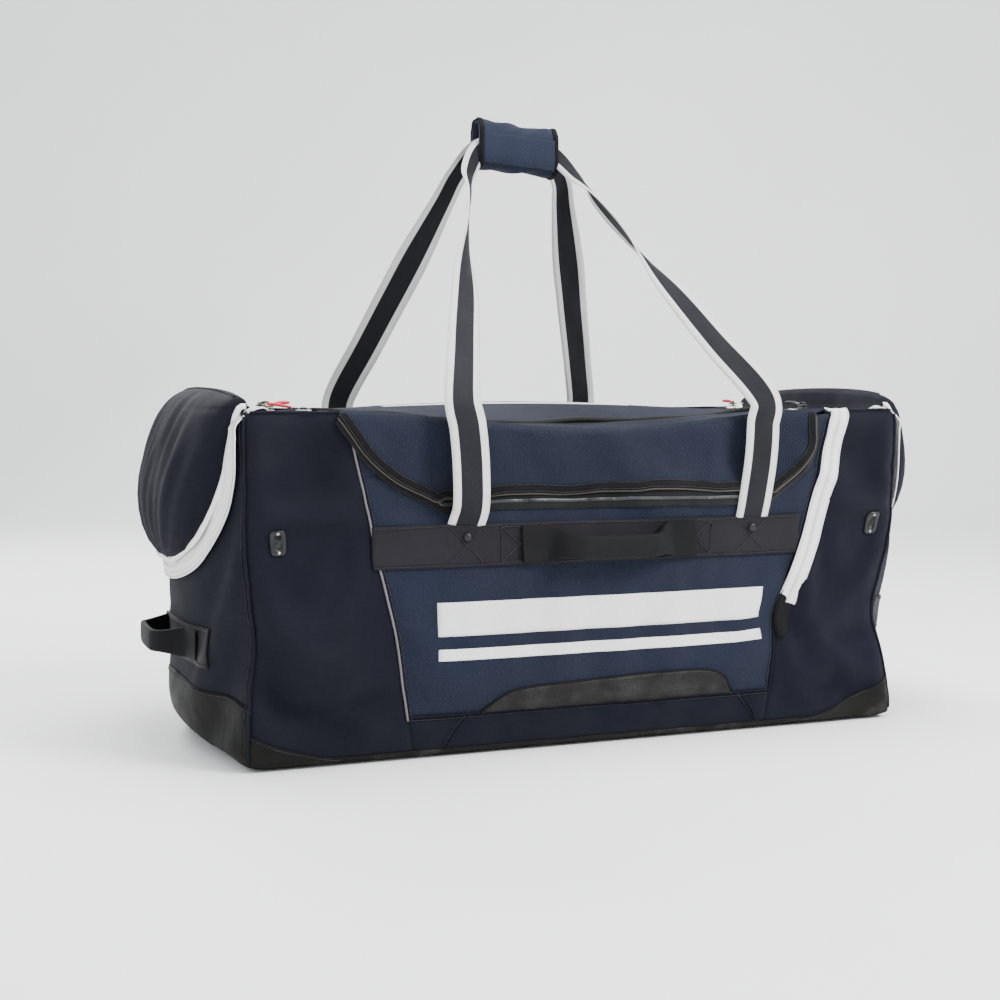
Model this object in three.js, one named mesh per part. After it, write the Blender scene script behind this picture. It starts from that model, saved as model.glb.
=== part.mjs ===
// A large soft hockey equipment bag: a quilted fabric box on a coated base, with a flap lid that
// opens at a ridge along the top, a zipped pocket at each end, four grab handles, and two webbing
// carry straps that meet in a wrapped grip. Millimetres: X runs along the bag, Y to its back and
// Z up, and the origin is at the middle of the base. The back half is the front half turned by
// half a turn, so pieces that repeat are built once and turned.

import * as THREE from 'three';
import { mergeVertices } from 'three/addons/utils/BufferGeometryUtils.js';

// Driving dimensions.
const LENGTH = 940;
const WIDTH = 460;
const HEIGHT = 455;
const CROWN = 10;
const TILT = 43; // the top sinks in front of the middle and rises behind it
const SIDE_BULGE = 9;
const END_BULGE = 66;
const WALL = 5;
const SEAM = 0.8;
const BASE = 6;
const BOARD = 4;
const WEBBING = 50;
const WEB_THICK = 3;
const ZIP_WIDTH = 28;
const TRIM = 2.4;
const LIFT = 0.5; // from the fabric to trim that lies on it, and more on the curved ends
const END_LIFT = 2.6;
const LID_LIFT = 3.8;
const LID_THICK = 4;

// Places on the long side, measured from the middle of the base.
const BAND_LOW = 250;
const BAND_HIGH = 305;
const BAND_REACH = 309;
const LOWER_SEAM = 57;
const MOUTH_FRONT = 350;
const LID_REACH = { left: -344, right: 351 };
const YOKE_REACH = { left: -346, right: 353 };
const YOKE_END = 462;
const TOP_EDGE = 221;
const RIDGE = { y: -94, half: 6, lid: -110, rear: -86 };
const STRAP_FRONT = { left: -187, right: 230 };
const STRAP_BACK = { left: -232, right: 190 };
const GRIP = { left: -90, right: 32, z: 826 };
const HANDLE = { reach: 92, centre: 14, radius: 11, bow: 38 };
const END_BAND_Z = 153;

// Places on the end, for the zipped pocket: its outline is a superellipse hung from the top edge.
const POCKET = { half: 205, top: 455, depth: 207, power: 2.25 };
const HINGE_OUT = 463;

const OUT = 0;
const IN = 1;

const vec = (x, y, z) => new THREE.Vector3(x, y, z);
const mix = THREE.MathUtils.lerp;
const clamp = THREE.MathUtils.clamp;

function finish(colour, roughness, metalness = 0) {
  return new THREE.MeshStandardMaterial({ color: colour, roughness, metalness });
}

const LOOKS = {
  quilted: () => finish(0x323c52, 0.85),
  plain: () => finish(0x1e2032, 0.8),
  coated: () => finish(0x262622, 0.55),
  mesh: () => finish(0x14120f, 0.9),
  webbing: () => finish(0x32303a, 0.8),
  striped: () => finish(0xb9b6bb, 0.8),
  zip: () => finish(0xf2eeec, 0.7),
  darkZip: () => finish(0x24232a, 0.7),
  binding: () => finish(0x2b2b22, 0.75),
  board: () => finish(0x3a3836, 0.7),
  metal: () => finish(0x18181a, 0.35, 0.8),
  pull: () => finish(0xd72846, 0.6),
};

// Loose triangles become one closed geometry whose faces point out.
function solid(corners) {
  let volume = 0;
  for (let k = 0; k < corners.length; k += 3) {
    volume += corners[k].dot(corners[k + 1].clone().cross(corners[k + 2]));
  }
  const ordered = corners.slice();
  if (volume < 0) {
    for (let k = 0; k < ordered.length; k += 3) {
      [ordered[k + 1], ordered[k + 2]] = [ordered[k + 2], ordered[k + 1]];
    }
  }
  const geometry = mergeVertices(new THREE.BufferGeometry().setFromPoints(ordered));
  geometry.computeVertexNormals();
  return geometry;
}

function quad(corners, a, b, c, d) {
  corners.push(a, b, c, a, c, d);
}

// A curved sheet with a thickness, from a grid of points: at(row, column, OUT or IN).
function sheet(rows, columns, at) {
  const corners = [];
  for (let i = 0; i < rows; i += 1) {
    for (let j = 0; j < columns; j += 1) {
      quad(corners, at(i, j, OUT), at(i, j + 1, OUT), at(i + 1, j + 1, OUT), at(i + 1, j, OUT));
      quad(corners, at(i, j, IN), at(i + 1, j, IN), at(i + 1, j + 1, IN), at(i, j + 1, IN));
    }
    quad(corners, at(i, 0, OUT), at(i + 1, 0, OUT), at(i + 1, 0, IN), at(i, 0, IN));
    quad(
      corners,
      at(i, columns, OUT), at(i, columns, IN), at(i + 1, columns, IN), at(i + 1, columns, OUT),
    );
  }
  for (let j = 0; j < columns; j += 1) {
    quad(corners, at(0, j, OUT), at(0, j, IN), at(0, j + 1, IN), at(0, j + 1, OUT));
    quad(corners, at(rows, j, OUT), at(rows, j + 1, OUT), at(rows, j + 1, IN), at(rows, j, IN));
  }
  return solid(corners);
}

// The three faces that fabric lies on. out is the height above the outer fabric.
function onFront(x, z, out) {
  const along = Math.cos((Math.PI * x) / (LENGTH + 80));
  const up = Math.sin(Math.PI * clamp(z / HEIGHT, 0, 1));
  return vec(x, -(WIDTH / 2 + SIDE_BULGE * along * up + out), z);
}

function onEnd(y, z, out) {
  const across = Math.cos((Math.PI * y) / (WIDTH + 10)) ** 0.8;
  const up = Math.sin(Math.PI * clamp(z / HEIGHT, 0.001, 0.999)) ** 0.5;
  return vec(-(LENGTH / 2 + END_BULGE * across * up + out), y, z);
}

function topHeight(x, y) {
  const along = clamp((LENGTH / 2 + WALL * 10 - Math.abs(x)) / 170, 0, 1);
  const share = y / (WIDTH / 2);
  const middle = Math.cos(Math.PI * clamp(x / 692, -0.5, 0.5));
  const lean = TILT * share * Math.cos((Math.PI / 2) * clamp(share, -1, 1)) * middle;
  return HEIGHT + CROWN * along * Math.cos((Math.PI * y) / (WIDTH + 20)) + lean;
}

function onTop(x, y, out) {
  return vec(x, y, topHeight(x, y) + out);
}

// A panel on one of those faces: spot gives the place for shares 0 to 1 of its rows and columns.
function panel(rows, columns, place, spot, outer = 0, thickness = WALL) {
  return sheet(rows, columns, (i, j, side) => {
    const [u, v] = spot(i / rows, j / columns);
    return place(u, v, side === OUT ? outer : outer - thickness);
  });
}

// A flat band that follows a path of [u, v] points on a face.
function band(place, path, width, lift = LIFT, thickness = TRIM) {
  const across = path.map((point, k) => {
    const before = path[Math.max(k - 1, 0)];
    const after = path[Math.min(k + 1, path.length - 1)];
    const run = Math.hypot(after[0] - before[0], after[1] - before[1]);
    return [-(after[1] - before[1]) / run, (after[0] - before[0]) / run];
  });
  return sheet(path.length - 1, 1, (i, j, side) => {
    const shift = (j - 0.5) * width;
    const out = lift + (side === OUT ? thickness : 0);
    return place(path[i][0] + across[i][0] * shift, path[i][1] + across[i][1] * shift, out);
  });
}

function shifted(path, distance) {
  return path.map((point, k) => {
    const before = path[Math.max(k - 1, 0)];
    const after = path[Math.min(k + 1, path.length - 1)];
    const run = Math.hypot(after[0] - before[0], after[1] - before[1]);
    const x = point[0] - ((after[1] - before[1]) / run) * distance;
    return [x, point[1] + ((after[0] - before[0]) / run) * distance];
  });
}

function add(group, name, geometry, material) {
  const mesh = new THREE.Mesh(geometry, material);
  mesh.name = name;
  group.add(mesh);
  return mesh;
}

// The seams that slant between the centre panel and its two neighbours.
const leftSeam = (z) => -255 - 0.193 * z;
const rightSeam = (z) => 252 + 0.235 * z;
const between = (left, right) => (z, share) => mix(left(z), right(z), share);

function frontPanel(low, high, left, right, rows, columns) {
  const across = between(left, right);
  return panel(rows, columns, onFront, (r, c) => {
    const z = mix(low, high, r);
    return [across(z, c), z];
  });
}

// A round-ended pad with a slot through it, drawn in its own XY plane.
function stadium(length, width) {
  const shape = new THREE.Shape();
  const straight = (length - width) / 2;
  shape.absarc(0, straight, width / 2, 0, Math.PI, false);
  shape.absarc(0, -straight, width / 2, Math.PI, Math.PI * 2, false);
  return shape;
}

function eyelet() {
  const shape = stadium(34, 22);
  shape.holes.push(stadium(22, 10));
  const geometry = new THREE.ExtrudeGeometry(shape, {
    depth: TRIM, bevelEnabled: false, curveSegments: 5,
  });
  return geometry.rotateX(Math.PI / 2);
}

function rivet() {
  const profile = [[0, 0], [7, 0], [6.5, 2], [4, 3.6], [0, 4.2]];
  const geometry = new THREE.LatheGeometry(profile.map(([r, h]) => new THREE.Vector2(r, h)), 10);
  return geometry.rotateX(Math.PI);
}

// A padded grab handle: a round bar that bows out between its two sewn ends.
function bar(ends, bow, radius) {
  const [from, to] = ends;
  const inset = (share) => from.clone().lerp(to, share);
  const points = [
    from, inset(0.1).add(bow.clone().multiplyScalar(0.62)),
    inset(0.3).add(bow), inset(0.7).add(bow),
    inset(0.9).add(bow.clone().multiplyScalar(0.62)), to,
  ];
  const section = new THREE.Shape();
  section.absarc(0, 0, radius, 0, Math.PI * 2, false);
  return new THREE.ExtrudeGeometry(section, {
    steps: 14,
    bevelEnabled: false,
    curveSegments: 4,
    extrudePath: new THREE.CatmullRomCurve3(points),
  });
}

// A zip slider lies along X with its nose at +X. Its pull tab starts at its tail.
function sliderBody() {
  const shape = new THREE.Shape();
  shape.moveTo(-9, -5);
  shape.lineTo(5, -7);
  shape.lineTo(9, -4);
  shape.lineTo(9, 4);
  shape.lineTo(5, 7);
  shape.lineTo(-9, 5);
  return new THREE.ExtrudeGeometry(shape, { depth: 6, bevelEnabled: false });
}

function pullTab() {
  const shape = stadium(46, 11);
  const geometry = new THREE.ExtrudeGeometry(shape, {
    depth: 2.4, bevelEnabled: false, curveSegments: 4,
  });
  return geometry.rotateZ(Math.PI / 2).translate(-33, 0, 2);
}

// The pocket's outline on the end, from its front top corner round to its back top corner.
function pocketOutline(steps) {
  const path = [];
  for (let k = 0; k <= steps; k += 1) {
    const angle = (Math.PI * k) / steps;
    const y = -Math.sign(Math.cos(angle)) * Math.abs(Math.cos(angle)) ** (2 / POCKET.power);
    const drop = Math.sin(angle) ** (2 / POCKET.power);
    path.push([y * POCKET.half, POCKET.top - 6 - drop * (POCKET.depth - 6)]);
  }
  return path;
}

function pocketHalfWidth(z) {
  const drop = clamp((POCKET.top - z) / POCKET.depth, 0, 1) ** POCKET.power;
  return POCKET.half * (1 - drop) ** (1 / POCKET.power);
}

function pocketFloor(y) {
  const side = clamp(Math.abs(y) / POCKET.half, 0, 1) ** POCKET.power;
  return POCKET.top - POCKET.depth * (1 - side) ** (1 / POCKET.power);
}

// The pocket flap bulges from its hinge over the shoulder and down to the tip of its outline.
// Each row: how far out and how high its middle is, then the same at its edge, then its half width.
function pocketFlap() {
  const over = [
    { mid: [HINGE_OUT, 471], edge: [HINGE_OUT, 463], half: 196, inward: [0, -1] },
    { mid: [496, 494], edge: [470, 463], half: 203, inward: [0.35, -0.94] },
    { mid: [534, 477], edge: [477, 455], half: 203, inward: [0.75, -0.66] },
  ];
  const down = [[432, 560], [388, 571], [344, 571], [304, 563], [272, 552], [252, 542]];
  const rows = over.concat(down.map(([z, out]) => {
    const half = pocketHalfWidth(z) - SEAM * 2;
    return { mid: [out, z], edge: [-onEnd(half, z, LID_THICK + LIFT).x, z], half, inward: [1, 0] };
  }));
  const columns = 10;
  return sheet(rows.length - 1, columns, (i, j, side) => {
    const row = rows[i];
    const across = mix(-1, 1, j / columns);
    const swell = Math.cos((across * Math.PI) / 2) ** 0.7;
    const inset = side === IN ? LID_THICK : 0;
    const out = mix(row.edge[0], row.mid[0], swell) - row.inward[0] * inset;
    const z = mix(row.edge[1], row.mid[1], swell) + row.inward[1] * inset;
    return vec(-out, across * row.half, z);
  });
}

// The end's lower wall stops at the pocket's outline, and runs up beside it at both corners.
function endPanel() {
  const ys = [-222, -209, -206.5, -190, -160, -120, -75, -25, 25, 75, 120, 160, 190, 206.5, 209, 222];
  const top = (y) => (Math.abs(y) > 208 ? HEIGHT - 8 : pocketFloor(y) - 3);
  return sheet(6, ys.length - 1, (i, j, side) => {
    const y = ys[j];
    const z = mix(BASE + SEAM, top(y), i / 6);
    return onEnd(y, z, side === OUT ? 0 : -WALL);
  });
}

function scuffPatch() {
  const reach = 206;
  const top = (y) => 66 + 34 * Math.cos((Math.PI * y) / (reach * 2));
  return panel(5, 12, onEnd, (r, c) => {
    const y = mix(-reach, reach, c);
    return [y, mix(BASE + SEAM * 2, top(y), r)];
  }, END_LIFT + TRIM, TRIM);
}

// A vertical zip on the face that turns over the shoulder and ends on the top.
function verticalZip() {
  const front = [182, 250, 320, 390, 440];
  const top = [-218, -160, -92];
  const rows = front.length + top.length;
  return sheet(rows, 1, (i, j, side) => {
    const out = LIFT + (side === OUT ? TRIM : 0);
    const x = j * ZIP_WIDTH;
    if (i < front.length) return onFront(rightSeam(front[i]) + 1 + x, front[i], out);
    if (i === front.length) return vec(356 + x, -WIDTH / 2 - 1.5 - out * 0.7, HEIGHT + 5 + out * 0.7);
    return onTop(356 + x, top[i - front.length - 1], out + 2);
  });
}

// Everything that the front half holds. The back half is the same group, turned.
function half(face, near, far) {
  const group = new THREE.Group();
  const seamLeft = (z) => leftSeam(z) + SEAM;
  const seamRight = (z) => rightSeam(z) - SEAM;
  const low = BASE + SEAM;
  const sideTop = HEIGHT - 6;
  const corner = LENGTH / 2 - 2;

  const lowerBand = frontPanel(low, LOWER_SEAM, seamLeft, seamRight, 1, 6);
  add(group, `${face}_lower_band`, lowerBand, LOOKS.plain());

  const centreTop = face === 'front' ? MOUTH_FRONT : sideTop;
  const centre = frontPanel(LOWER_SEAM + SEAM, centreTop, seamLeft, seamRight, 5, 8);
  add(group, `${face}_centre_panel`, centre, LOOKS.quilted());

  const nearSide = frontPanel(low, sideTop, () => -corner, (z) => leftSeam(z), 6, 3);
  add(group, `${face}_${near}_side_panel`, nearSide, LOOKS.plain());

  const farSide = frontPanel(low, sideTop, (z) => rightSeam(z), () => corner, 6, 3);
  add(group, `${face}_${far}_side_panel`, farSide, LOOKS.plain());

  const vent = panel(1, 6, onFront, (r, c) => {
    const z = mix(LOWER_SEAM + 3, 96, r);
    return [mix(mix(-165, -120, r), mix(205, 172, r), c), z];
  }, LIFT + TRIM, TRIM);
  add(group, `${face}_mesh_vent`, vent, LOOKS.mesh());

  const bandMiddle = (BAND_LOW + BAND_HIGH) / 2;
  const bandPath = [-1, -0.6, -0.2, 0.2, 0.6, 1].map((share) => [share * BAND_REACH, bandMiddle]);
  const webbing = band(onFront, bandPath, BAND_HIGH - BAND_LOW, LIFT, WEB_THICK);
  add(group, `${face}_webbing_band`, webbing, LOOKS.webbing());

  add(group, `${face}_vertical_zipper`, verticalZip(), LOOKS.zip());

  for (const [side, x] of [[near, -430], [far, 432]]) {
    const ring = add(group, `${face}_${side}_eyelet`, eyelet(), LOOKS.metal());
    ring.position.copy(onFront(x, 290, LIFT * 2));
  }

  const strap = face === 'front' ? STRAP_FRONT : { left: -STRAP_BACK.right, right: -STRAP_BACK.left };
  for (const [side, x] of [[near, strap.left], [far, strap.right]]) {
    const dome = add(group, `${face}_${side}_rivet`, rivet(), LOOKS.metal());
    dome.position.copy(onFront(x, 289, LIFT * 2 + WEB_THICK));
  }

  const rise = HANDLE.radius + 2;
  const handleZ = bandMiddle;
  const ends = [-1, 1].map((turn) => {
    return onFront(HANDLE.centre + turn * HANDLE.reach, handleZ, WEB_THICK + rise);
  });
  const handle = bar(ends, vec(0, -HANDLE.bow, 0), HANDLE.radius);
  add(group, `${face}_grab_handle`, handle, LOOKS.webbing());

  add(group, `${near}_end_panel`, endPanel(), LOOKS.plain());
  add(group, `${near}_scuff_patch`, scuffPatch(), LOOKS.coated());
  const zip = band(onEnd, shifted(pocketOutline(24), -13), ZIP_WIDTH - 4, END_LIFT);
  add(group, `${near}_pocket_zipper`, zip, LOOKS.zip());
  add(group, `${near}_pocket_flap`, pocketFlap(), LOOKS.plain());

  const liner = new THREE.BoxGeometry(3, 436, 436);
  liner.translate(-(LENGTH / 2 - 8), 0, BASE + BOARD + 220);
  add(group, `${near}_pocket_liner`, liner, LOOKS.mesh());

  const endPath = [];
  for (let y = -150; y <= 150; y += 37.5) endPath.push([y, END_BAND_Z]);
  const endBand = band(onEnd, endPath, 46, END_LIFT, WEB_THICK);
  add(group, `${near}_webbing_band`, endBand, LOOKS.webbing());

  const endEnds = [-78, 78].map((y) => onEnd(y, END_BAND_Z, END_LIFT + WEB_THICK + rise));
  const endHandle = bar(endEnds, vec(-34, 0, 0), HANDLE.radius);
  add(group, `${near}_end_handle`, endHandle, LOOKS.webbing());

  const spot = onTop(-425, -172, 8);
  const slider = add(group, `${near}_pocket_slider`, sliderBody(), LOOKS.metal());
  slider.position.copy(spot);
  slider.rotation.z = (Math.PI * 5) / 4;
  const tab = add(group, `${near}_pocket_pull`, pullTab(), LOOKS.pull());
  tab.position.copy(spot);
  tab.rotation.z = (Math.PI * 5) / 4;

  const onZip = add(group, `${face}_vertical_slider`, sliderBody(), LOOKS.metal());
  onZip.position.copy(onTop(370, -130, 8));
  onZip.rotation.z = -Math.PI / 2;
  return group;
}

// The lid: its top runs from the ridge to the front edge, turns down, and ends in a curved hem.
const LID_DRAPE = [[449, -350, 330], [430, -338, 330], [400, -316, 328], [370, -278, 304], [343, -226, 262]];

function lidFlap() {
  const topRows = [RIDGE.lid, -145, -185, -TOP_EDGE];
  const rows = topRows.length + LID_DRAPE.length;
  const columns = 8;
  return sheet(rows - 1, columns, (i, j, side) => {
    const share = j / columns;
    const inset = side === IN ? LID_THICK : 0;
    if (i < topRows.length) {
      return onTop(mix(LID_REACH.left, LID_REACH.right, share), topRows[i], -inset);
    }
    const [z, left, right] = LID_DRAPE[i - topRows.length];
    return onFront(mix(left, right, share), z, LID_LIFT + LID_THICK - inset);
  });
}

function lidHem() {
  const left = LID_DRAPE.map(([z, x]) => [x, z]);
  const right = LID_DRAPE.map(([z, , x]) => [x, z]).reverse();
  const [startX, lowZ] = left[left.length - 1];
  const endX = right[0][0];
  const bottom = [0.25, 0.5, 0.75].map((share) => [mix(startX, endX, share), lowZ]);
  return left.concat(bottom, right);
}

function topPanel(left, right, from, to, columns) {
  return panel(5, columns, onTop, (r, c) => [mix(left, right, c), mix(from, to, r)], 0, LID_THICK);
}

function ridgeBinding() {
  const outline = [[-6, 0], [-4, 4], [0, 6], [4, 4], [6, 0], [0, -3]];
  const shape = new THREE.Shape(outline.map(([y, z]) => new THREE.Vector2(y, z)));
  const length = LID_REACH.right - LID_REACH.left;
  const geometry = new THREE.ExtrudeGeometry(shape, { depth: length, steps: 12, bevelEnabled: false });
  const upright = new THREE.Matrix4().makeBasis(vec(0, 1, 0), vec(0, 0, 1), vec(1, 0, 0));
  geometry.applyMatrix4(upright).translate(LID_REACH.left, RIDGE.y, 2);
  const spots = geometry.attributes.position;
  for (let i = 0; i < spots.count; i += 1) {
    spots.setZ(i, spots.getZ(i) + topHeight(spots.getX(i), RIDGE.y));
  }
  return geometry;
}

// A carry strap: up from its left anchor, twisting a quarter turn into the grip, and down again.
function carryStrap(anchors, face) {
  const y = (distance) => face * distance;
  const leg = (x, gripX, lean) => [
    vec(x, y(240), BAND_HIGH + 2),
    vec(x, y(249), 345),
    vec(x - lean * 2, y(252), 420),
    vec(x - lean * 8, y(243), 478),
    vec(mix(x, gripX, 0.35) - lean * 6, y(160), 630),
    vec(mix(x, gripX, 0.75), y(72), 765),
  ];
  const left = leg(anchors.left, GRIP.left, -1);
  const right = leg(anchors.right, GRIP.right, 1).reverse();
  const middle = [-24, -2, 60, 124, 146].map((run) => vec(GRIP.left + run, y(8), GRIP.z));
  const curve = new THREE.CatmullRomCurve3(left.concat(middle, right), false, 'centripetal');
  const steps = 44;
  const stations = [];
  for (let k = 0; k <= steps; k += 1) {
    const place = curve.getPointAt(k / steps);
    const along = curve.getTangentAt(k / steps);
    const raised = clamp((place.z - 480) / (GRIP.z - 520), 0, 1);
    const angle = (Math.PI / 2) * raised;
    const across = vec(Math.cos(angle), 0, Math.sin(angle));
    across.addScaledVector(along, -across.dot(along)).normalize();
    const normal = along.clone().cross(across).normalize();
    stations.push({ place, across, normal });
  }
  return sheet(steps, 1, (i, j, side) => {
    const { place, across, normal } = stations[i];
    const point = place.clone().addScaledVector(across, (j - 0.5) * (WEBBING - 2));
    return point.addScaledVector(normal, (side === OUT ? 0.5 : -0.5) * WEB_THICK);
  });
}

function roundedBox(width, height, radius) {
  const shape = new THREE.Shape();
  const x = width / 2 - radius;
  const y = height / 2 - radius;
  const quarter = Math.PI / 2;
  shape.absarc(x, y, radius, 0, quarter, false);
  shape.absarc(-x, y, radius, quarter, quarter * 2, false);
  shape.absarc(-x, -y, radius, quarter * 2, quarter * 3, false);
  shape.absarc(x, -y, radius, quarter * 3, quarter * 4, false);
  return shape;
}

// Both straps pass through the wrap, which is a sleeve with open ends.
function gripWrap() {
  const shape = roundedBox(36, 68, 14);
  shape.holes.push(roundedBox(26, 58, 9));
  const geometry = new THREE.ExtrudeGeometry(shape, {
    depth: GRIP.right - GRIP.left, bevelEnabled: false, curveSegments: 4,
  });
  const upright = new THREE.Matrix4().makeBasis(vec(0, 1, 0), vec(0, 0, 1), vec(1, 0, 0));
  return geometry.applyMatrix4(upright).translate(GRIP.left, 0, GRIP.z);
}

function wrapFlap() {
  const width = GRIP.right - GRIP.left - 6;
  const flap = new THREE.BoxGeometry(width, 3, 50);
  return flap.translate((GRIP.left + GRIP.right) / 2, -20, GRIP.z - 3);
}

function base() {
  const group = new THREE.Group();
  const shape = roundedBox(LENGTH - 6, WIDTH - 6, 24);
  const options = { depth: BASE, bevelEnabled: false, curveSegments: 4 };
  add(group, 'bottom_tray', new THREE.ExtrudeGeometry(shape, options), LOOKS.coated());
  const board = new THREE.BoxGeometry(LENGTH - 30, WIDTH - 26, BOARD);
  board.translate(0, 0, BASE + LIFT + BOARD / 2);
  add(group, 'base_board', board, LOOKS.board());
  return group;
}

function top() {
  const group = new THREE.Group();
  const rear = topPanel(LID_REACH.left, LID_REACH.right, RIDGE.rear, TOP_EDGE + 6, 10);
  add(group, 'rear_top_panel', rear, LOOKS.quilted());
  const leftYoke = topPanel(-YOKE_END, YOKE_REACH.left, -TOP_EDGE, TOP_EDGE, 2);
  add(group, 'left_top_yoke', leftYoke, LOOKS.plain());
  const rightYoke = topPanel(YOKE_REACH.right, YOKE_END, -TOP_EDGE, TOP_EDGE, 2);
  add(group, 'right_top_yoke', rightYoke, LOOKS.plain());
  add(group, 'ridge_binding', ridgeBinding(), LOOKS.binding());
  add(group, 'lid_flap', lidFlap(), LOOKS.quilted());
  const hem = lidHem();
  add(group, 'lid_binding', band(onFront, shifted(hem, -7), 10, LID_LIFT, LID_THICK), LOOKS.binding());
  const tape = band(onFront, shifted(hem, 9).slice(1, -1), 12, LIFT, TRIM);
  add(group, 'main_zipper_tape', tape, LOOKS.darkZip());

  const leftSpot = onTop(-385, -196, 4);
  const left = add(group, 'main_left_slider', sliderBody(), LOOKS.metal());
  left.position.copy(leftSpot);
  const tab = add(group, 'main_left_pull', pullTab(), LOOKS.pull());
  tab.position.copy(leftSpot);
  const right = add(group, 'main_right_slider', sliderBody(), LOOKS.metal());
  right.position.copy(onTop(366, -60, 4));
  right.rotation.z = -Math.PI / 2;
  return group;
}

function carry() {
  const group = new THREE.Group();
  add(group, 'front_carry_strap', carryStrap(STRAP_FRONT, -1), LOOKS.striped());
  add(group, 'back_carry_strap', carryStrap(STRAP_BACK, 1), LOOKS.striped());
  add(group, 'grip_wrap', gripWrap(), LOOKS.quilted());
  add(group, 'grip_wrap_flap', wrapFlap(), LOOKS.quilted());
  return group;
}

const bag = new THREE.Group();
const backHalf = half('back', 'right', 'left');
backHalf.rotation.z = Math.PI;
bag.add(base(), half('front', 'left', 'right'), backHalf, top(), carry());

export default bag;
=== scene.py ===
"""The looks of a soft hockey equipment bag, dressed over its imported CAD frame."""

import math

import bmesh
import bpy
import numpy as np
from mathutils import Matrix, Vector


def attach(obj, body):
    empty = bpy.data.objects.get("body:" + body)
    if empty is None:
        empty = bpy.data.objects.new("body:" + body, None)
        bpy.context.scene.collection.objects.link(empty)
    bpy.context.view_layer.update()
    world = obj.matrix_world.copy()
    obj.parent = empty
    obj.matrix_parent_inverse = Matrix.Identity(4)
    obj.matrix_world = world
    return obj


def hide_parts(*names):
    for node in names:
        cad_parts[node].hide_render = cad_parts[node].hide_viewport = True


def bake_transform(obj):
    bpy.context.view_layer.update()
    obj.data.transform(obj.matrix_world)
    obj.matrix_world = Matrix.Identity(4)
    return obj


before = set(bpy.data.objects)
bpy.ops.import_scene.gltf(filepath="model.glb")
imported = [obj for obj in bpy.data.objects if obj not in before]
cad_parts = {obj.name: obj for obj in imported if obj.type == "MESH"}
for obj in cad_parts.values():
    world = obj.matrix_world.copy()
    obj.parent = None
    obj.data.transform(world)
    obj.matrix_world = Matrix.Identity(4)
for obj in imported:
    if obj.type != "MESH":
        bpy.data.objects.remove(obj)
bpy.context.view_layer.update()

# ---------------------------------------------------------------- camera
CAMERA_SPOT = (-0.853, -2.087, 0.472)
CAMERA_TURN = 21.0  # degrees clockwise from looking along +Y
CAMERA_DIP = 3.95  # degrees below level

camera = bpy.data.objects.new("camera", bpy.data.cameras.new("camera"))
camera.data.lens = 54.9
camera.data.sensor_width = 36
camera.location = CAMERA_SPOT
camera.rotation_euler = (math.radians(90 - CAMERA_DIP), 0, -math.radians(CAMERA_TURN))
bpy.context.scene.collection.objects.link(camera)
bpy.context.scene.camera = camera

# ---------------------------------------------------------------- sizes, in metres, as in the CAD
HALF_LONG, HALF_WIDE, HIGH = 0.470, 0.230, 0.455
CROWN, TILT = 0.010, 0.043
SIDE_BULGE, END_BULGE = 0.009, 0.066
SIDE_BULGE_SPAN, END_BULGE_SPAN, CROWN_SPAN, TILT_SPAN = 1.020, 0.470, 0.480, 0.692
WALL = 0.0035
RIDGE_Y, LID_Y, REAR_Y = -0.094, -0.099, -0.086
LID_LEFT, LID_RIGHT = -0.344, 0.351
BAND_LOW, BAND_HIGH, BAND_REACH = 0.250, 0.305, 0.309
LOWER_SEAM, MOUTH = 0.057, 0.350
END_BAND_Z = 0.153
WEBBING = 0.050
ANCHOR_Z = 0.307
STRAP_FRONT, STRAP_BACK = (-0.187, 0.230), (-0.232, 0.190)
GRIP_LEFT, GRIP_RIGHT, GRIP_Z = -0.090, 0.032, 0.826
HANDLE_X, HANDLE_REACH, HANDLE_Z = 0.014, 0.092, 0.2775
STEP = 0.012  # the spacing of the shell's cloth grid
EDGE = 0.001  # how near to a side a point counts as on it


def clamp(value, low, high):
    return np.minimum(np.maximum(value, low), high)


def mix(a, b, share):
    return a + (b - a) * share


def smooth(value, low, high):
    share = clamp((value - low) / (high - low), 0, 1)
    return share * share * (3 - 2 * share)


def left_seam(z):
    return -0.255 - 0.193 * z


def right_seam(z):
    return 0.252 + 0.235 * z


def catmull(points, count):
    """A smooth run of count points through the given ones, evenly spaced by length."""
    points = np.array(points, float)
    ends = np.vstack([2 * points[0] - points[1], points, 2 * points[-1] - points[-2]])
    t = np.linspace(0, len(points) - 1, 24 * (len(points) - 1) + 1)
    i = np.minimum(t.astype(int), len(points) - 2)
    u = (t - i)[:, None]
    a, b, c, d = ends[i], ends[i + 1], ends[i + 2], ends[i + 3]
    fine = 0.5 * (2 * b + (c - a) * u + (2 * a - 5 * b + 4 * c - d) * u**2
                  + (3 * b - a - 3 * c + d) * u**3)
    run = np.concatenate([[0], np.cumsum(np.linalg.norm(np.diff(fine[:, :3], axis=0), axis=1))])
    spots = np.linspace(0, run[-1], count)
    return np.stack([np.interp(spots, run, fine[:, k]) for k in range(fine.shape[1])], axis=1)


def unit(vectors):
    size = np.linalg.norm(vectors, axis=-1, keepdims=True)
    return vectors / np.maximum(size, 1e-12)


# ---------------------------------------------------------------- the shell that every panel follows
def front_spot(x, z):
    bulge = SIDE_BULGE * np.cos(np.pi * x / SIDE_BULGE_SPAN) * np.sin(np.pi * clamp(z / HIGH, 0, 1))
    return np.stack([x, -(HALF_WIDE + bulge), z], axis=-1)


def end_spot(y, z):
    across = np.maximum(np.cos(np.pi * y / END_BULGE_SPAN), 0) ** 0.8
    up = np.sin(np.pi * clamp(z / HIGH, 0.001, 0.999)) ** 0.5
    return np.stack([-(HALF_LONG + END_BULGE * across * up), y, z], axis=-1)


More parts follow.
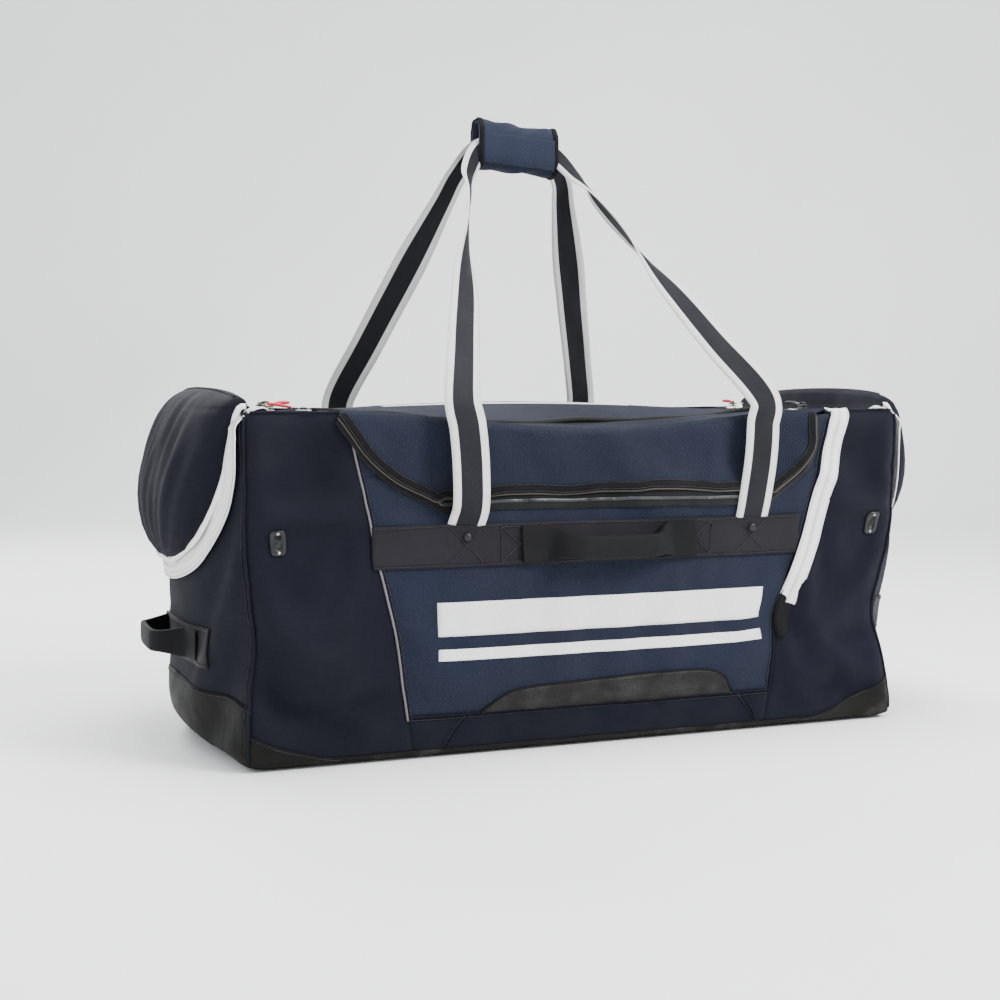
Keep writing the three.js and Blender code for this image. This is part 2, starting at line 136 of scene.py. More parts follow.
def top_height(x, y):
    along = clamp((0.520 - np.abs(x)) / 0.170, 0, 1)
    share = clamp(y / HALF_WIDE, -1, 1)
    middle = np.cos(np.pi * clamp(x / TILT_SPAN, -0.5, 0.5))
    lean = TILT * share * np.cos(np.pi / 2 * share) * middle
    return HIGH + CROWN * along * np.cos(np.pi * y / CROWN_SPAN) + lean


def half_turn(points):
    return points * np.array([-1, -1, 1])


XS = np.linspace(-HALF_LONG, HALF_LONG, round(2 * HALF_LONG / STEP) + 1)
YS = np.linspace(-HALF_WIDE, HALF_WIDE, round(2 * HALF_WIDE / STEP) + 1)
ZS = np.linspace(0, HIGH, round(HIGH / STEP) + 1)


def shell_lattice():
    """The numbers of the shell's points, by place in a box lattice, and their sharp-edged places."""
    nx, ny, nz = len(XS), len(YS), len(ZS)
    i, j, k = np.meshgrid(range(nx), range(ny), range(nz), indexing="ij")
    faces = [j == 0, j == ny - 1, i == 0, i == nx - 1, k == nz - 1, k == 0]
    on_face = np.any(faces, axis=0)
    number = -np.ones((nx, ny, nz), int)
    number[on_face] = np.arange(on_face.sum())
    x, y, z = XS[i[on_face]], YS[j[on_face]], ZS[k[on_face]]
    places = [front_spot(x, z), half_turn(front_spot(-x, z)), end_spot(y, z),
              half_turn(end_spot(-y, z)), np.stack([x, y, top_height(x, y)], axis=-1),
              np.stack([x, y, np.zeros_like(x)], axis=-1)]
    weights = np.stack([face[on_face] for face in faces])[:, :, None].astype(float)
    spots = (np.stack(places) * weights).sum(0) / weights.sum(0)
    return number, spots, weights.sum(0)[:, 0]


NUMBER, SPOTS, FACE_COUNT = shell_lattice()
GRIDS = {
    "front": NUMBER[:, 0, :], "back": NUMBER[:, -1, :], "left": NUMBER[0, :, :],
    "right": NUMBER[-1, :, :], "top": NUMBER[:, :, -1], "bottom": NUMBER[:, :, 0],
}
FACE_LINES = {"front": (XS, ZS), "back": (XS, ZS), "left": (YS, ZS), "right": (YS, ZS),
              "top": (XS, YS), "bottom": (XS, YS)}


def shell_quads():
    quads = []
    for name, grid in GRIDS.items():
        a, b, c, d = grid[:-1, :-1], grid[1:, :-1], grid[1:, 1:], grid[:-1, 1:]
        order = (a, b, c, d) if name in ("front", "right", "top") else (a, d, c, b)
        quads.append(np.stack([side.ravel() for side in order], axis=1))
    return np.vstack(quads)


def neighbours(quads):
    edges = np.vstack([quads[:, [k, (k + 1) % 4]] for k in range(4)])
    return np.vstack([edges, edges[:, ::-1]])


def relaxed(spots, quads, rounds, amount):
    """The spots, each drawn towards the mean of its neighbours by its own amount."""
    pairs = neighbours(quads)
    count = np.bincount(pairs[:, 0], minlength=len(spots))[:, None]
    for _ in range(rounds):
        mean = np.zeros_like(spots)
        for axis in range(3):
            mean[:, axis] = np.bincount(pairs[:, 0], spots[pairs[:, 1], axis], minlength=len(spots))
        spots = spots + amount[:, None] * (mean / count - spots)
    return spots


PINCH_HEIGHTS = (0, 0.080, 0.162, 0.277, 0.421, HIGH)
PINCH_DEPTHS = (0, 0.016, 0.042, 0.012, 0.003, 0)
TOP_SAG = 0.024


def slumped(spots):
    """The half-empty bag gives way: two corners fold in low down, and the lid's front edge sags."""
    x, y, z = spots.T.copy()
    corner = -(x / HALF_LONG) * (y / HALF_WIDE)
    pinch = np.interp(z, PINCH_HEIGHTS, PINCH_DEPTHS)
    inwards = (smooth(corner, 0.15, 1) + 0.35 * smooth(-corner, 0.25, 1)) * pinch
    middle = np.cos(np.pi / 2 * clamp(x / 0.36, -1, 1)) ** 2
    sag = TOP_SAG * middle * smooth(z, 0.37, HIGH) * smooth(-y, 0.05, 0.215)
    crease = np.sin(26 * x + 34 * z) * smooth(np.abs(x), 0.30, 0.40) * smooth(-z, -0.30, -0.14)
    crease = crease * smooth(z, 0.01, 0.05) * (FACE_COUNT == 1)
    moved = np.stack([x * 1.018 - np.sign(x) * inwards, y * 1.002 - 0.35 * sag, z - sag], axis=1)
    moved[:, 1] += np.where(np.abs(y) > HALF_WIDE - EDGE, np.sign(y) * 0.0050 * crease, 0)
    return moved


def rounded_shell():
    """The shell with its twelve edges rounded off, as sewn and piped fabric is."""
    quads = shell_quads()
    near = relaxed(np.repeat((FACE_COUNT > 1)[:, None], 3, axis=1).astype(float), quads, 3,
                   np.ones(len(SPOTS)))[:, 0]
    amount = clamp(near * 4, 0, 1) * 0.75
    return relaxed(slumped(SPOTS), quads, 4, amount), quads


def soft_hold():
    """How firmly each point of the shell is held while it settles: seams, bands and floor are firm."""
    x, y, z = SPOTS.T
    on_side = np.abs(y) > HALF_WIDE - EDGE
    side_x = np.where(y < 0, x, -x)
    seams = np.minimum(np.abs(side_x - left_seam(z)), np.abs(side_x - right_seam(z)))
    band = (z > BAND_LOW - 0.006) & (z < BAND_HIGH + 0.006) & (np.abs(side_x) < BAND_REACH)
    hold = np.where(on_side & (seams < 0.010), 0.6, 0.0)
    hold = np.where(on_side & band, 0.75, hold)
    hold = np.where(on_side & (np.abs(z - LOWER_SEAM) < 0.008), 0.7, hold)
    hold = np.where((np.abs(x) < 0.45) & on_side & (z > 0.28) & (z < 0.31), 0.8, hold)
    hold = np.where(FACE_COUNT > 1, 0.85, hold)
    return np.where(z < 0.014, 1.0, hold)


SLACK = -0.030  # the cloth is cut this share larger than its frame
PRESSURE = 0.45
SETTLE_FRAMES = 22
MOST_SETTLE = 0.016  # no point settles further than this
CORNER_SOFTNESS = 1.3  # how much more the long sides settle near their corners


def settled(spots, quads, hold):
    """The shell after its cloth has settled under its own weight, with a little slack in it."""
    mesh = bpy.data.meshes.new("settling")
    mesh.from_pydata(spots.tolist(), [], quads.tolist())
    cloth = bpy.data.objects.new("settling", mesh)
    bpy.context.scene.collection.objects.link(cloth)
    group = cloth.vertex_groups.new(name="held")
    for level in np.unique(hold):
        group.add(np.flatnonzero(hold == level).tolist(), float(level), "REPLACE")
    fabric = cloth.modifiers.new("fabric", "CLOTH")
    fabric.settings.quality = 5
    fabric.settings.mass = 0.25
    fabric.settings.tension_stiffness = 25
    fabric.settings.compression_stiffness = 25
    fabric.settings.shear_stiffness = 12
    fabric.settings.bending_stiffness = 0.6
    fabric.settings.vertex_group_mass = "held"
    fabric.settings.pin_stiffness = 2.0
    fabric.settings.shrink_min = SLACK
    fabric.settings.use_pressure = True
    fabric.settings.uniform_pressure_force = PRESSURE
    fabric.collision_settings.use_collision = False
    fabric.point_cache.frame_end = SETTLE_FRAMES
    for moment in range(1, SETTLE_FRAMES + 1):
        bpy.context.scene.frame_set(moment)
    shaped = cloth.evaluated_get(bpy.context.evaluated_depsgraph_get())
    result = np.array([v.co for v in shaped.data.vertices])
    bpy.data.objects.remove(cloth)
    bpy.context.scene.frame_set(1)
    return result


def shell_spots():
    """The shell's final points: the slumped form, and the limited settling added to it."""
    spots, quads = rounded_shell()
    moved = settled(spots, quads, soft_hold()) - spots
    size = np.linalg.norm(moved, axis=1, keepdims=True)
    moved = moved * np.tanh(size / MOST_SETTLE) * MOST_SETTLE / np.maximum(size, 1e-9)
    x, y, z = SPOTS.T
    corner_cloth = (np.abs(y) > HALF_WIDE - EDGE) * smooth(np.abs(x), 0.28, 0.37)
    soft = 1 + CORNER_SOFTNESS * corner_cloth * smooth(-z, -0.44, -0.39)
    free = (soft * (z > 0.012))[:, None]
    return spots + relaxed(moved * free, quads, 1, np.full(len(spots), 0.5))


SHELL = shell_spots()


def run_on(grid):
    """A grid with one more row on every side, carried straight on."""
    grid = np.concatenate([[2 * grid[0] - grid[1]], grid, [2 * grid[-1] - grid[-2]]])
    before = 2 * grid[:, :1] - grid[:, 1:2]
    after = 2 * grid[:, -1:] - grid[:, -2:-1]
    return np.concatenate([before, grid, after], axis=1)


def spline_weights(t):
    return ((1 - t) ** 3 / 6, (3 * t**3 - 6 * t**2 + 4) / 6,
            (-3 * t**3 + 3 * t**2 + 3 * t + 1) / 6, t**3 / 6)


def smooth_read(grid, at_a, at_b):
    """Smooth reading of a grid of points, which has a spare row all round, at fractional places."""
    ia = clamp(np.floor(at_a), 0, grid.shape[0] - 4).astype(int)
    ib = clamp(np.floor(at_b), 0, grid.shape[1] - 4).astype(int)
    wa, wb = spline_weights(at_a - ia), spline_weights(at_b - ib)
    total = 0
    for p in range(4):
        for q in range(4):
            total = total + (wa[p] * wb[q])[..., None] * grid[ia + p, ib + q]
    return total


SKINS = {name: run_on(SHELL[grid]) for name, grid in GRIDS.items()}
OUTWARD = {"front": (0, -1, 0), "back": (0, 1, 0), "left": (-1, 0, 0), "right": (1, 0, 0),
           "top": (0, 0, 1), "bottom": (0, 0, -1)}
PROBE = 0.005


def skin_point(face, a, b):
    lines_a, lines_b = FACE_LINES[face]
    at_a = (a - lines_a[0]) / (lines_a[1] - lines_a[0])
    at_b = (b - lines_b[0]) / (lines_b[1] - lines_b[0])
    return smooth_read(SKINS[face], at_a, at_b)


def skin(face, a, b, out=0.0):
    """Points on a face of the settled shell, out by some distance. The back is laid out as the front is,
    and the right end as the left end is, each turned by half a turn."""
    a, b, out = np.broadcast_arrays(np.asarray(a, float), np.asarray(b, float), np.asarray(out, float))
    a = -a if face in ("back", "right") else a
    point = skin_point(face, a, b)
    along = skin_point(face, a + PROBE, b) - skin_point(face, a - PROBE, b)
    up = skin_point(face, a, b + PROBE) - skin_point(face, a, b - PROBE)
    normal = unit(np.cross(along, up))
    normal = normal * np.sign((normal * np.array(OUTWARD[face])).sum(-1, keepdims=True))
    return point + normal * out[..., None]


# ---------------------------------------------------------------- meshes
def add_object(name, verts, faces, material, uvs=None, smooth_faces=True):
    mesh = bpy.data.meshes.new(name)
    mesh.from_pydata(np.asarray(verts, float).tolist(), [], [list(map(int, f)) for f in faces])
    if uvs is not None:
        layer = mesh.uv_layers.new(name="cloth")
        loops = np.zeros(len(mesh.loops), int)
        mesh.loops.foreach_get("vertex_index", loops)
        layer.data.foreach_set("uv", np.asarray(uvs, float)[loops].ravel())
    mesh.materials.append(material)
    mesh.polygons.foreach_set("use_smooth", [smooth_faces] * len(mesh.polygons))
    mesh.validate()
    thing = bpy.data.objects.new(name, mesh)
    bpy.context.scene.collection.objects.link(thing)
    return thing


def grid_normals(points):
    rows = np.gradient(points, axis=0)
    columns = np.gradient(points, axis=1)
    return unit(np.cross(rows, columns))


def grid_faces(rows, columns, start=0, flip=False):
    number = start + np.arange(rows * columns).reshape(rows, columns)
    a, b, c, d = number[:-1, :-1], number[1:, :-1], number[1:, 1:], number[:-1, 1:]
    order = (a, d, c, b) if flip else (a, b, c, d)
    return np.stack([side.ravel() for side in order], axis=1).tolist()


def cloth_uvs(points):
    """Lengths in metres along and across a grid, for the weave to follow."""
    middle_row, middle_column = points.shape[0] // 2, points.shape[1] // 2
    down = np.linalg.norm(np.diff(points[:, middle_column], axis=0), axis=1)
    across = np.linalg.norm(np.diff(points[middle_row], axis=0), axis=1)
    v = np.concatenate([[0], np.cumsum(down)])
    u = np.concatenate([[0], np.cumsum(across)])
    return np.stack(np.meshgrid(u, v), axis=-1).reshape(-1, 2)


def cloth(name, points, thickness, material, centre=(0, 0, 0.23)):
    """A closed sheet whose outer face is the given grid of points, facing away from centre."""
    points = np.asarray(points, float)
    rows, columns = points.shape[:2]
    normals = grid_normals(points)
    facing = ((points - np.array(centre)) * normals).sum()
    normals = normals * (1 if facing > 0 else -1)
    inner = points - normals * thickness
    verts = np.vstack([points.reshape(-1, 3), inner.reshape(-1, 3)])
    flip = facing < 0
    size = rows * columns
    faces = grid_faces(rows, columns, 0, flip) + grid_faces(rows, columns, size, not flip)
    number = np.arange(size).reshape(rows, columns)
    rim = np.concatenate([number[0, :], number[1:, -1], number[-1, -2::-1], number[-2:0:-1, 0]])
    after = np.roll(rim, -1)
    side = np.stack([rim, after, after + size, rim + size], axis=1)
    faces += (side[:, ::-1] if flip else side).tolist()
    uvs = cloth_uvs(points)
    return add_object(name, verts, faces, material, np.vstack([uvs, uvs]))


def path_frame(path, normals):
    tangent = unit(np.gradient(path, axis=0))
    side = unit(np.cross(tangent, normals))
    return tangent, side, unit(np.cross(side, tangent))


def tube_faces(count, around, closed=False):
    """The walls between rings of points, with a cap at each end unless the last ring meets the first."""
    number = np.arange(count * around).reshape(count, around)
    here, follow = (number, np.roll(number, -1, axis=0)) if closed else (number[:-1], number[1:])
    walls = np.stack([here, np.roll(here, -1, axis=1), np.roll(follow, -1, axis=1), follow], axis=-1)
    faces = walls.reshape(-1, 4).tolist()
    return faces if closed else faces + [number[0, ::-1].tolist(), number[-1].tolist()]


def sweep(name, path, normals, profile, material, closed=False):
    """A profile of (sideways, outwards) offsets, one for all or one for each point, carried along a path."""
    path = np.asarray(path, float)
    _, side, up = path_frame(path, np.broadcast_to(np.asarray(normals, float), path.shape))
    profile = np.asarray(profile, float)
    profile = np.broadcast_to(profile, (len(path),) + profile.shape[-2:])
    rings = path[:, None] + side[:, None] * profile[..., :1] + up[:, None] * profile[..., 1:]
    faces = tube_faces(*rings.shape[:2], closed)
    run = np.concatenate([[0], np.cumsum(np.linalg.norm(np.diff(path, axis=0), axis=1))])
    wide = np.abs(profile[..., 0]).max(axis=1, keepdims=True)
    across = (profile[..., 0] / wide + 1) / 2 * 2 * wide.max()
    uvs = np.stack([np.broadcast_to(run[:, None], across.shape), across], axis=-1).reshape(-1, 2)
    thing = add_object(name, rings.reshape(-1, 3), faces, material, uvs)
    fix_normals(thing)
    return thing


def fix_normals(thing):
    work = bmesh.new()
    work.from_mesh(thing.data)
    bmesh.ops.recalc_face_normals(work, faces=work.faces)
    work.to_mesh(thing.data)
    work.free()


def round_profile(half_wide, half_high, count=10, power=1.0, lift=0.0):
    turn = np.linspace(0, 2 * np.pi, count, endpoint=False)
    c, s = np.cos(turn), np.sin(turn)
    return np.stack([half_wide * np.sign(c) * np.abs(c) ** power,
                     half_high * np.sign(s) * np.abs(s) ** power + lift], axis=1)


# ---------------------------------------------------------------- materials
class Look:
    """A procedural material: the principled shader and short calls for its nodes."""

    def __init__(self, name, colour, roughness, sheen=0.0, specular=0.16):
        self.material = bpy.data.materials.new(name)
        self.material.use_nodes = True
        self.material.diffuse_color = (*colour, 1)
        self.tree = self.material.node_tree
        self.shader = self.tree.nodes["Principled BSDF"]
        self.shader.inputs["Roughness"].default_value = roughness
        self.shader.inputs["Sheen Weight"].default_value = sheen
        self.shader.inputs["Specular IOR Level"].default_value = specular
        self.colour, self.height = colour, None
        places = self.node("ShaderNodeTexCoord").outputs
        self.uv, self.space = places["UV"], places["Object"]

    def node(self, kind, **settings):
        made = self.tree.nodes.new(kind)
        for key, value in settings.items():
            setattr(made, key, value)
        return made

    def feed(self, socket, value):
        if isinstance(value, bpy.types.NodeSocket):
            self.tree.links.new(value, socket)
        else:
            socket.default_value = value

    def math(self, operation, a, b=0.0, limit=False):
        made = self.node("ShaderNodeMath", operation=operation, use_clamp=limit)
        self.feed(made.inputs[0], a)
        self.feed(made.inputs[1], b)
        return made.outputs[0]

    def split(self, vector=None):
        made = self.node("ShaderNodeSeparateXYZ")
        self.feed(made.inputs[0], vector or self.uv)
        return made.outputs

    def noise(self, scale, detail=3.0, vector=None, rough=0.5):
        made = self.node("ShaderNodeTexNoise")
        made.inputs["Scale"].default_value = scale
        made.inputs["Detail"].default_value = detail
        made.inputs["Roughness"].default_value = rough
        self.feed(made.inputs["Vector"], vector or self.space)
        return made.outputs["Fac"]

    def span(self, value, low, high, to_low=0.0, to_high=1.0):
        made = self.node("ShaderNodeMapRange", clamp=True)
        self.feed(made.inputs["Value"], value)
        limits = {"From Min": low, "From Max": high, "To Min": to_low, "To Max": to_high}
        for key, number in limits.items():
            made.inputs[key].default_value = number
        return made.outputs["Result"]

    def blend(self, share, a, b):
        made = self.node("ShaderNodeMix", data_type="RGBA")
        self.feed(made.inputs["Factor"], share)
        for socket, value in ((made.inputs[6], a), (made.inputs[7], b)):
            self.feed(socket, value if isinstance(value, bpy.types.NodeSocket) else (*value, 1))
        return made.outputs[2]

    def ripple(self, value, pitch):
        """A wave from 0 to 1 along a length in metres."""
        wave = self.math("SINE", self.math("MULTIPLY", value, 2 * math.pi / pitch))
        return self.span(wave, -1, 1)

    def finish(self, colour, roughness=None, bumps=()):
        self.feed(self.shader.inputs["Base Color"], colour)
        if roughness is not None:
            self.feed(self.shader.inputs["Roughness"], roughness)
        normal = None
        for height, depth in bumps:
            bump = self.node("ShaderNodeBump")
            bump.inputs["Distance"].default_value = depth
            self.feed(bump.inputs["Height"], height)
            if normal is not None:
                self.feed(bump.inputs["Normal"], normal)
            normal = bump.outputs["Normal"]
        if normal is not None:
            self.feed(self.shader.inputs["Normal"], normal)
        return self.material


def shade(colour, amount):
    return tuple(min(1, max(0, channel * amount)) for channel in colour)


def worn(look, colour, fade=0.25, dust=(0.018, 0.018, 0.018)):
    """The cloth's colour with slow fading, dust in noise patches and small specks."""
    slow = look.span(look.noise(3.5, 4), 0.35, 0.68)
    base = look.blend(slow, shade(colour, 1 - fade), shade(colour, 1 + fade))
    dirt = look.span(look.noise(11, 8, rough=0.65), 0.56, 0.80, 0, 0.22)
    base = look.blend(dirt, base, dust)
    lint = look.span(look.noise(420, 2), 0.70, 0.78, 0, 0.30)
    return look.blend(lint, base, (0.050, 0.050, 0.052))


THREAD_PITCH = 0.0009


def woven(name, colour, pitch, depth, diamond=False, roughness=0.80, sheen=0.012, fade=0.22):
    look = Look(name, colour, roughness, sheen)
    u, v, _ = look.split()
    if diamond:
        u, v = look.math("ADD", u, v), look.math("SUBTRACT", u, v)
    warp, weft = look.ripple(u, pitch), look.ripple(v, pitch)
    cells = look.math("MULTIPLY", warp, weft)
    threads = look.math("MAXIMUM", look.ripple(look.split()[0], THREAD_PITCH),
                        look.ripple(look.split()[1], THREAD_PITCH))
    base = worn(look, colour, fade)
    # painted light and shade: the weave's raised cells lighter and its hollows darker, following the bump
    painted_light_tone = look.blend(look.span(cells, 0.15, 0.85), shade(colour, 0.55), shade(colour, 1.45))
    base = look.blend(0.42, base, painted_light_tone)
    rough = look.span(look.noise(6, 4), 0.3, 0.7, roughness - 0.10, roughness + 0.10)
    folds = look.noise(14, 3)
    return look.finish(base, rough, ((folds, 0.004), (cells, depth), (threads, 0.00012)))


def webbing_look(name, colour, stripe=None, width=WEBBING):
    """Flat woven webbing with fine ribs, a herringbone, and a stripe at each edge if one is given."""
    look = Look(name, colour, 0.66, 0.012)
    u, v, _ = look.split()
    middle = look.math("ABSOLUTE", look.math("SUBTRACT", v, width / 2))
    lean = look.math("MULTIPLY", look.math("PINGPONG", v, 0.004), 0.8)
    ribs = look.ripple(look.math("ADD", u, lean), 0.0024)
    threads = look.ripple(v, 0.0013)
    weave = look.math("MULTIPLY", ribs, threads)
    base = worn(look, colour, 0.20)
    if stripe:
        edge = look.span(middle, width * 0.285, width * 0.30)
        base = look.blend(edge, base, worn(look, stripe, 0.03, (0.75, 0.73, 0.70)))
    shadow = look.span(weave, 0, 1, 0.62, 1.0)
    dark = look.blend(shadow, (0, 0, 0), (1, 1, 1))
    tone = look.node("ShaderNodeMix", data_type="RGBA", blend_type="MULTIPLY")
    tone.inputs["Factor"].default_value = 0.75
    look.feed(tone.inputs[6], base)
    look.feed(tone.inputs[7], dark)
    rough = look.span(look.noise(9, 3), 0.3, 0.7, 0.52, 0.74)
    return look.finish(tone.outputs[2], rough, ((look.noise(18, 2), 0.003), (weave, 0.0007)))


def coated_look(name, colour):
    """Heavy coated cloth: a faint grid of threads under a worn satin skin, with scuffs."""
    look = Look(name, colour, 0.56, 0.0, 0.12)
    u, v, _ = look.split()
    grid = look.math("MAXIMUM", look.ripple(u, 0.0016), look.ripple(v, 0.0016))
    base = worn(look, colour, 0.30, (0.20, 0.19, 0.17))
    scuff = look.span(look.noise(55, 8, rough=0.7), 0.62, 0.72, 0, 0.55)
    base = look.blend(scuff, base, (0.022, 0.021, 0.019))
    rough = look.span(look.noise(12, 5), 0.3, 0.7, 0.48, 0.72)
    bumps = ((look.noise(9, 4), 0.006), (look.noise(60, 6), 0.0008), (grid, 0.0002))
    return look.finish(base, rough, bumps)


def mesh_look(name, colour):
    """Open knitted mesh: black threads with painted glints, round rows of small holes painted near black as
    the shade seen through them.
    """
    look = Look(name, colour, 0.50, 0.0, 0.25)
    cells = look.node("ShaderNodeTexVoronoi", feature="DISTANCE_TO_EDGE")
    cells.inputs["Scale"].default_value = 330
    cells.inputs["Randomness"].default_value = 0.25
    look.feed(cells.inputs["Vector"], look.uv)
    thread = look.span(cells.outputs["Distance"], 0.10, 0.22, 1, 0)
    # painted highlight: lighter glints laid on the threads in noise patches
    painted_gleam = look.span(look.noise(30, 3), 0.45, 0.7, 0, 0.6)
    painted_light_tone = look.blend(painted_gleam, colour, (0.060, 0.057, 0.055))
    # painted shade: the holes are coloured near black in place of the dark seen through them
    base = look.blend(thread, (0.001, 0.001, 0.001), painted_light_tone)
    return look.finish(base, 0.55, ((look.noise(25, 3), 0.004), (thread, 0.0012)))


def tape_look(name, colour, pitch=0.0021, depth=0.0005):
    """Zip tape: ribs along it, their hollows darker as painted shade, and fine threads across."""
    look = Look(name, colour, 0.66, 0.08)
    u, v, _ = look.split()
    ribs, threads = look.ripple(v, pitch), look.ripple(u, 0.0011)
    base = worn(look, colour, 0.03, shade(colour, 0.75))
    # painted shade: darker in the hollows between the ribs, following the bump
    painted_rib_shade = look.blend(look.span(ribs, 0.05, 0.45), shade(colour, 0.70), shade(colour, 1.0))
    base = look.blend(0.45, base, painted_rib_shade)
    return look.finish(base, 0.68, ((ribs, depth), (threads, depth * 0.4), (look.noise(20, 2), 0.002)))


def hard_look(name, colour, roughness, metal=0.0, wear=(0.35, 0.34, 0.33)):
    """Painted metal or moulded plastic: worn edges, fine scratches and fingerprints."""
    look = Look(name, colour, roughness, 0.0, 0.30)
    look.shader.inputs["Metallic"].default_value = metal
    chips = look.span(look.noise(150, 6, rough=0.7), 0.60, 0.68, 0, 0.55)
    base = look.blend(chips, colour, wear)
    smudge = look.span(look.noise(60, 4), 0.3, 0.7, roughness - 0.10, roughness + 0.14)
    return look.finish(base, smudge, ((look.noise(260, 4), 0.0004), (look.noise(900, 2), 0.00008)))


def rubber_look(name, colour):
    look = Look(name, colour, 0.48, 0.05)
    grain = look.noise(900, 3)
    base = look.blend(look.span(look.noise(80, 4), 0.4, 0.7), shade(colour, 0.75), shade(colour, 1.1))
    rough = look.span(grain, 0.3, 0.7, 0.4, 0.6)
    return look.finish(base, rough, ((grain, 0.0002), (look.noise(120, 3), 0.0006)))


def thread_look(name, colour):
    look = Look(name, colour, 0.6, 0.1)
    twist = look.ripple(look.math("ADD", look.split()[0], look.split()[1]), 0.0006)
    # painted shade: darker in the twist's grooves, following its bump
    base = look.blend(twist, shade(colour, 0.55), shade(colour, 1.1))
    return look.finish(base, 0.6, ((twist, 0.0003),))


NAVY, SMOOTH_NAVY = (0.0110, 0.0145, 0.0300), (0.0028, 0.0031, 0.0100)
QUILT = woven("textured_navy", NAVY, 0.0045, 0.0011, diamond=True, fade=0.16)
PLAIN = woven("smooth_navy", SMOOTH_NAVY, 0.0016, 0.0004)
TARP = coated_look("coated_cloth", (0.0050, 0.0050, 0.0044))
MESH = mesh_look("black_mesh", (0.0040, 0.0036, 0.0034))
LINING = woven("lining_cloth", (0.030, 0.031, 0.037), 0.0012, 0.0003, roughness=0.8)
WEB = webbing_look("charcoal_webbing", (0.0125, 0.0115, 0.0160))
BLACK_WEB = webbing_look("black_webbing", (0.0034, 0.0034, 0.0048))
STRIPED = webbing_look("striped_webbing", (0.0150, 0.0145, 0.0200), (0.97, 0.96, 0.94))
WHITE_TAPE = tape_look("white_tape", (0.97, 0.96, 0.95))
BLACK_TAPE = tape_look("black_tape", (0.004, 0.004, 0.005))
TRIM_TAPE = woven("binding_tape", (0.0030, 0.0030, 0.0042), 0.0013, 0.0004)
OLIVE_TAPE = woven("olive_binding", (0.0090, 0.0095, 0.0060), 0.0013, 0.0004)
# a light tan strip that stands for light caught on the hem binding's lower rim: a painted highlight
PAINTED_RIM_HIGHLIGHT = woven("painted_rim_highlight", (0.090, 0.075, 0.064), 0.0013, 0.0003)
PIPING = woven("light_piping", (0.16, 0.15, 0.155), 0.0012, 0.0003)
WRAP = woven("wrap_cloth", (0.0200, 0.0255, 0.0480), 0.0036, 0.0009, diamond=True)
PRINT = woven("white_print", (0.97, 0.96, 0.95), 0.0045, 0.0009, diamond=True, fade=0.05)
WHITE_THREAD = thread_look("white_thread", (0.72, 0.70, 0.68))
DARK_THREAD = thread_look("dark_thread", (0.022, 0.021, 0.028))
BLACK_HARD = hard_look("black_hardware", (0.008, 0.008, 0.009), 0.36, 0.0, (0.05, 0.05, 0.05))
GREY_METAL = hard_look("grey_metal", (0.30, 0.30, 0.31), 0.34, 0.9, (0.55, 0.54, 0.52))
OLIVE_METAL = hard_look("olive_metal", (0.105, 0.100, 0.055), 0.38, 0.5)
BOARD = hard_look("board_plastic", (0.05, 0.05, 0.055), 0.55)
COIL = hard_look("white_coil", (0.74, 0.72, 0.70), 0.42)
DARK_COIL = hard_look("dark_coil", (0.03, 0.03, 0.035), 0.36)
RED = rubber_look("red_rubber", (0.62, 0.022, 0.050))


# ---------------------------------------------------------------- trims and stitching
def place(thing, body, *nodes, slot=None):
    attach(thing, body)
    if nodes:
        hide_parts(*nodes)
    return thing


def joined(name, things):
    """Several meshes made into one piece."""
    bpy.context.view_layer.update()
    for thing in bpy.context.selected_objects:
        thing.select_set(False)
    for thing in things:
        thing.select_set(True)
    bpy.context.view_layer.objects.active = things[0]
    bpy.ops.object.join()
    whole = bpy.context.view_layer.objects.active
    whole.name = name
    whole.data.name = name
    whole.select_set(False)
    return whole


def by_length(path, pitch):
    run = np.concatenate([[0], np.cumsum(np.linalg.norm(np.diff(path, axis=0), axis=1))])
    count = max(int(run[-1] / pitch), 2)
    spots = np.linspace(0, run[-1], count)
    return np.stack([np.interp(spots, run, path[:, k]) for k in range(path.shape[1])], axis=1)


STITCH_PITCH, STITCH_LONG, STITCH_THICK = 0.0044, 0.0030, 0.0005
STITCH_RINGS = ((-0.5, 0.45), (-0.3, 1.0), (0.3, 1.0), (0.5, 0.45))


def stitches(name, path, normals, material):
    """A run of separate thread stitches lying along a path."""
    path = np.asarray(path, float)
    normals = np.broadcast_to(np.asarray(normals, float), path.shape)
    spots = by_length(np.hstack([path, normals]), STITCH_PITCH)
    centres = spots[:, :3]
    tangent, side, up = path_frame(centres, spots[:, 3:])
    turn = np.linspace(0, 2 * np.pi, 6, endpoint=False)
    spokes = side[:, None] * np.cos(turn)[None, :, None] + up[:, None] * np.sin(turn)[None, :, None]
    verts, uvs = [], []
    for share, size in STITCH_RINGS:
        ring = (centres + tangent * share * STITCH_LONG)[:, None] + STITCH_THICK * size * spokes
        verts.append(ring)
        flat = np.stack([turn * STITCH_THICK, turn * 0 + share * STITCH_LONG], axis=-1)
        uvs.append(np.broadcast_to(flat, ring.shape[:2] + (2,)))
    verts = np.stack(verts, axis=1)
    number = np.arange(verts.shape[0] * 24).reshape(-1, 4, 6)
    follow = np.roll(number, -1, axis=2)
    walls = np.stack([number[:, :-1], follow[:, :-1], follow[:, 1:], number[:, 1:]], axis=-1)
    faces = walls.reshape(-1, 4).tolist() + number[:, 0, ::-1].tolist() + number[:, 3].tolist()
    return add_object(name, verts.reshape(-1, 3), faces, material, np.stack(uvs, axis=1).reshape(-1, 2))


